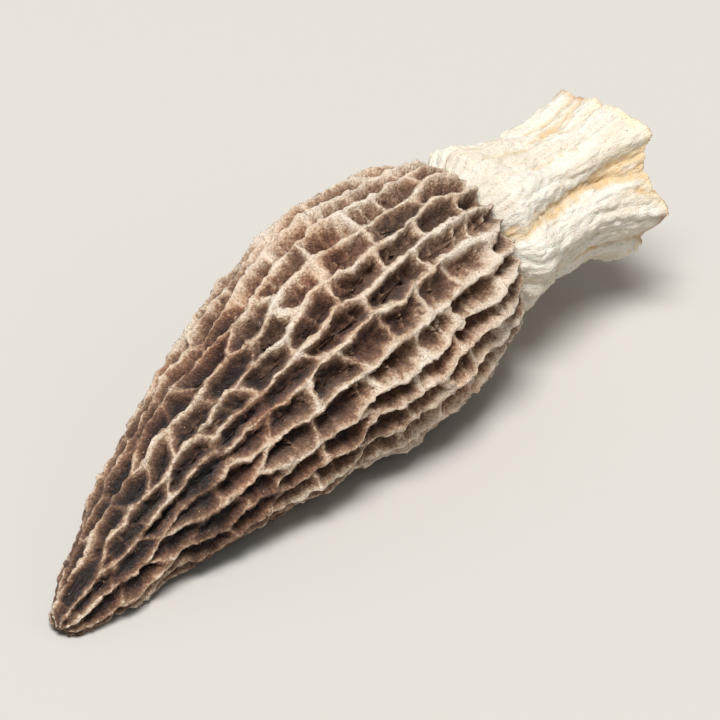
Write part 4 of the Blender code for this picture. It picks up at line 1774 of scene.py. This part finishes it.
        shader = add(tree, "ShaderNodeBsdfPrincipled", {
            "Base Color": colour, "Roughness": rough, "Normal": bump,
            "Specular IOR Level": 0.45, "Sheen Weight": 0.10, "Sheen Roughness": 0.5,
        })
        add(tree, "ShaderNodeOutputMaterial", {0: shader})
        return material


@dataclass(frozen=True)
class StemFlesh:
    """Dried morel stem: papery ivory flesh, tan in its creases.

    The tan of its creases is partly painted shade. It is orange-brown where it was cut, and dark red-brown
    inside, which is painted shade where it darkens further in from the cut. Lengths are in millimetres on
    the real stem, which is about 11 across.
    """

    name: str = "dried morel stem"
    face: str = "#dfdace"
    shade: str = "#d6cab5"
    crease: str = "#cfae7c"
    cut: str = "#ead8b4"
    browned: str = "#a9692f"
    inside: str = "#d8a763"
    stained: str = "#ad6429"
    painted_shade_deep: str = "#7d3817"
    # Lengths of the patterns, and the values of their noises where they start and are full.
    patch: float = 1.4
    patch_span: Span = (0.42, 0.68)
    mottle: float = 0.7
    stain: float = 3.3
    stain_span: Span = (0.42, 0.60)
    # The creases' colour: how much the mottle adds to a crease, where it starts and is full, and its most.
    mottle_weight: float = 0.9
    sunk_span: Span = (1.04, 1.5)
    most_sunk: float = 0.85
    # Fibres and meal are finer than the picture can show, so they are drawn about three times as coarse.
    fibre: float = 0.25
    fibre_height: float = 0.18
    fibre_stretch: float = 4.0
    meal: float = 0.14
    meal_height: float = 0.10
    # The hollow is pale near the cut and dark further in, and that darkening is painted shade: distances past
    # the cap.
    pale_until: float = 11.5
    dark_from: float = 4.0

    def make(self) -> bpy.types.Material:
        """Builds the material.

        Returns:
            The material of the stem.
        """
        material = bare_material(self.name)
        tree = material.node_tree
        crease, cut, inner, past = (add(tree, "ShaderNodeAttribute", attribute_name=name).outputs["Fac"]
                                    for name in ("crease", "cut", "inner", "past"))
        seat = add(tree, "ShaderNodeAttribute", attribute_name="seat").outputs["Vector"]
        spot = add(tree, "ShaderNodeTexCoord").outputs["Object"]
        spot = add(tree, "ShaderNodeMapping", {"Vector": spot, "Scale": (1.0 / MM,) * 3})
        slow = add(tree, "ShaderNodeMapping", {"Vector": seat, "Scale": (1.0, 1.0, 1.0 / self.fibre_stretch)})
        patterns = ((slow, self.patch, 5.0), (seat, self.mottle, 6.0), (seat, self.stain, 5.0),
                    (slow, self.fibre, 5.0), (spot, self.meal, 3.0))
        patches, mottle, stains, fibres, meal = (
            add(tree, "ShaderNodeTexNoise", {
                "Vector": where, "Scale": 1.0 / length, "Detail": detail, "Roughness": 0.6,
            })
            for where, length, detail in patterns
        )
        low, high = self.patch_span
        patches = add(tree, "ShaderNodeMapRange", {0: patches, 1: low, 2: high})
        # How far a spot is sunk in a crease, which tans the face there, partly as painted shade.
        sunk = add(tree, "ShaderNodeMath", {
            0: mottle, 1: self.mottle_weight, 2: crease,
        }, operation="MULTIPLY_ADD")
        low, high = self.sunk_span
        sunk = add(tree, "ShaderNodeMapRange", {0: sunk, 1: low, 2: high, 3: 0.0, 4: self.most_sunk})
        low, high = self.stain_span
        stained = add(tree, "ShaderNodeMapRange", {0: stains, 1: low, 2: high})
        # Painted shade: how far the hollow darkens, further in from the cut.
        painted_shade_within = add(tree, "ShaderNodeMapRange", {0: past, 1: self.pale_until, 2: self.dark_from})
        # Each surface starts from one colour and is laid over, share by share, with the others.
        laid_over = {
            "cut": (self.cut, (stained, self.browned)),
            # Further in, the hollow darkens to painted shade.
            "hollow": (self.inside, (patches, self.stained), (painted_shade_within, self.painted_shade_deep)),
            # The crease tan on the face is partly painted shade.
            "face": (self.face, (patches, self.shade), (sunk, self.crease), (cut, "cut"), (inner, "hollow")),
        }
        colours = {}
        for part, (colour, *layers) in laid_over.items():
            for share, hue in layers:
                colour = add(tree, "ShaderNodeMix", {
                    0: share, "A": colour, "B": colours.get(hue, hue),
                }, data_type="RGBA")
            colours[part] = colour
        bump = add(tree, "ShaderNodeBump", {"Height": fibres, "Distance": self.fibre_height * MM})
        bump = add(tree, "ShaderNodeBump", {
            "Height": meal, "Distance": self.meal_height * MM, "Normal": bump,
        })
        shader = add(tree, "ShaderNodeBsdfPrincipled", {
            "Base Color": colours["face"], "Roughness": 0.82, "Normal": bump, "Specular IOR Level": 0.3,
            "Subsurface Weight": 0.10, "Subsurface Scale": 0.4 * MM,
        })
        add(tree, "ShaderNodeOutputMaterial", {0: shader})
        return material


@dataclass(frozen=True)
class Crumbs:
    """Dry crumbs of flesh, matt, each a little lighter or darker than those a millimetre away."""

    name: str
    pale: str
    dark: str
    hue_length: float = 0.6 * MM
    hue_span: Span = (0.35, 0.65)

    def make(self) -> bpy.types.Material:
        """Builds the material.

        Returns:
            The material of one kind of crumb.
        """
        material = bare_material(self.name)
        tree = material.node_tree
        spot = add(tree, "ShaderNodeTexCoord").outputs["Object"]
        hue = add(tree, "ShaderNodeTexNoise", {"Vector": spot, "Scale": 1.0 / self.hue_length, "Detail": 2.0})
        low, high = self.hue_span
        hue = add(tree, "ShaderNodeMapRange", {0: hue, 1: low, 2: high})
        colour = add(tree, "ShaderNodeMix", {0: hue, "A": self.pale, "B": self.dark}, data_type="RGBA")
        shader = add(tree, "ShaderNodeBsdfPrincipled", {
            "Base Color": colour, "Roughness": 0.85, "Specular IOR Level": 0.3,
        })
        add(tree, "ShaderNodeOutputMaterial", {0: shader})
        return material


@dataclass
class Studio:
    """Pale floor, one soft lamp nearly overhead, one weak lamp in front, and the camera."""

    azimuth: float = math.radians(-48.0)
    elevation: float = math.radians(36.0)
    lens: float = 270.0
    distance: float = 0.378
    clip_start: float = 0.01
    # Where it aims, from the middle of the mushroom.
    aim: Triple = (0.0050, 0.0013, -0.0053)
    floor_half: float = 6.0
    floor_colour: str = "#bab6b0"
    sky_colour: str = "#f3f0ec"
    sky: float = 0.36
    # Name, direction from the mushroom, distance, width and power of each lamp.
    lamps: tuple[tuple[str, Triple, float, float, float], ...] = (
        ("key", (-0.38, -0.24, 1.25), 3.0, 1.2, 130.0),
        ("fill", (0.5, -1.0, 0.7), 4.2, 3.6, 9.0),
    )

    def build(self, middle: Vector) -> None:
        """Builds the studio.

        Args:
            middle: The middle of the mushroom, which all of it faces.
        """
        self.lay_floor()
        for name, way, distance, size, power in self.lamps:
            lamp = bpy.data.lights.new(name, "AREA")
            lamp.size, lamp.energy = size, power
            self.place(name, lamp, middle, Vector(way), distance)
        camera = bpy.data.cameras.new("camera")
        camera.lens, camera.clip_start = self.lens, self.clip_start
        level = math.cos(self.elevation)
        across, toward = math.sin(self.azimuth) * level, -math.cos(self.azimuth) * level
        back = Vector((across, toward, math.sin(self.elevation)))
        scene = bpy.context.scene
        scene.camera = self.place("camera", camera, middle + Vector(self.aim), back, self.distance)
        scene.world = bpy.data.worlds.new("studio")
        scene.world.use_nodes = True
        sky = scene.world.node_tree.nodes["Background"]
        sky.inputs["Color"].default_value = linear(self.sky_colour)
        sky.inputs["Strength"].default_value = self.sky
        scene.view_settings.view_transform = "Standard"

    def lay_floor(self) -> None:
        """Lays the plain matt floor."""
        half = self.floor_half
        mesh = bpy.data.meshes.new("floor")
        corners = [(-half, -half, 0), (half, -half, 0), (half, half, 0), (-half, half, 0)]
        mesh.from_pydata(corners, [], [(0, 1, 2, 3)])
        material = bare_material("matt paper")
        tree = material.node_tree
        shader = add(tree, "ShaderNodeBsdfPrincipled", {"Base Color": self.floor_colour, "Roughness": 0.9})
        add(tree, "ShaderNodeOutputMaterial", {0: shader})
        mesh.materials.append(material)
        floor = new_object("floor", mesh)

    @staticmethod
    def place(name: str, data: bpy.types.ID, target: Vector, back: Vector,
              distance: float) -> bpy.types.Object:
        """Stands a lamp or camera off from the target and turns it to face it.

        Args:
            name: Name of the object.
            data: The lamp or camera.
            target: What it faces.
            back: The direction from the target to it.
            distance: How far off it stands.

        Returns:
            The object.
        """
        thing = new_object(name, data)
        thing.location = target + back.normalized() * distance
        thing.rotation_euler = back.to_track_quat("Z", "Y").to_euler()
        return thing


def main() -> None:
    """Grows the mushroom, dresses it and sets it in the studio."""
    logging.basicConfig(level=logging.INFO, format="%(name)s: %(message)s")
    rng = random.Random(SEED)
    form = Form()
    net = Net(form)
    net.draw(rng)
    phase = rng.uniform(0.0, TURN)
    rest = Rest(net)
    cap_skin = Crinkle(
        crease_spacing=0.62 * MM, crease_height=0.90 * MM, fine_length=0.26 * MM, fine_height=0.34 * MM,
    )
    stem_skin = Crinkle(
        crease_spacing=0.80 * MM, crease_height=0.60 * MM, fine_length=0.30 * MM, fine_height=0.22 * MM,
        stretch=2.2,
    )
    cap = Cap(Crests(net, random.Random(SEED + 1)), random.Random(SEED + 2)).grow(rest)
    cap = cap_skin.over(cap, "cap", CapFlesh().make())
    stem = stem_skin.over(Stem(form, phase).grow(rest), "stem", StemFlesh().make())
    pieces = [cap, stem]
    for grain, carrier, crumbs in (
        (Grain.MEAL, stem, Crumbs("dried stem meal", "#dfdacc", "#cbba9b")),
        (Grain.CRUMB, stem, Crumbs("dried cut crumbs", "#ecdcb9", "#c2965f")),
        (Grain.DUST, cap, Crumbs("dried cap crumbs", "#a68d76", "#5d4636")),
    ):
        pieces.append(grain.strewn(carrier, crumbs.make()))
    for piece in pieces:
        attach(piece, BODY)
        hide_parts(NODE)
        LOG.info("%s: %d faces", piece.name, len(piece.data.polygons))
    Studio().build(0.5 * (CAD_BOX[0] + CAD_BOX[1]))


if __name__ == "__main__":
    main()
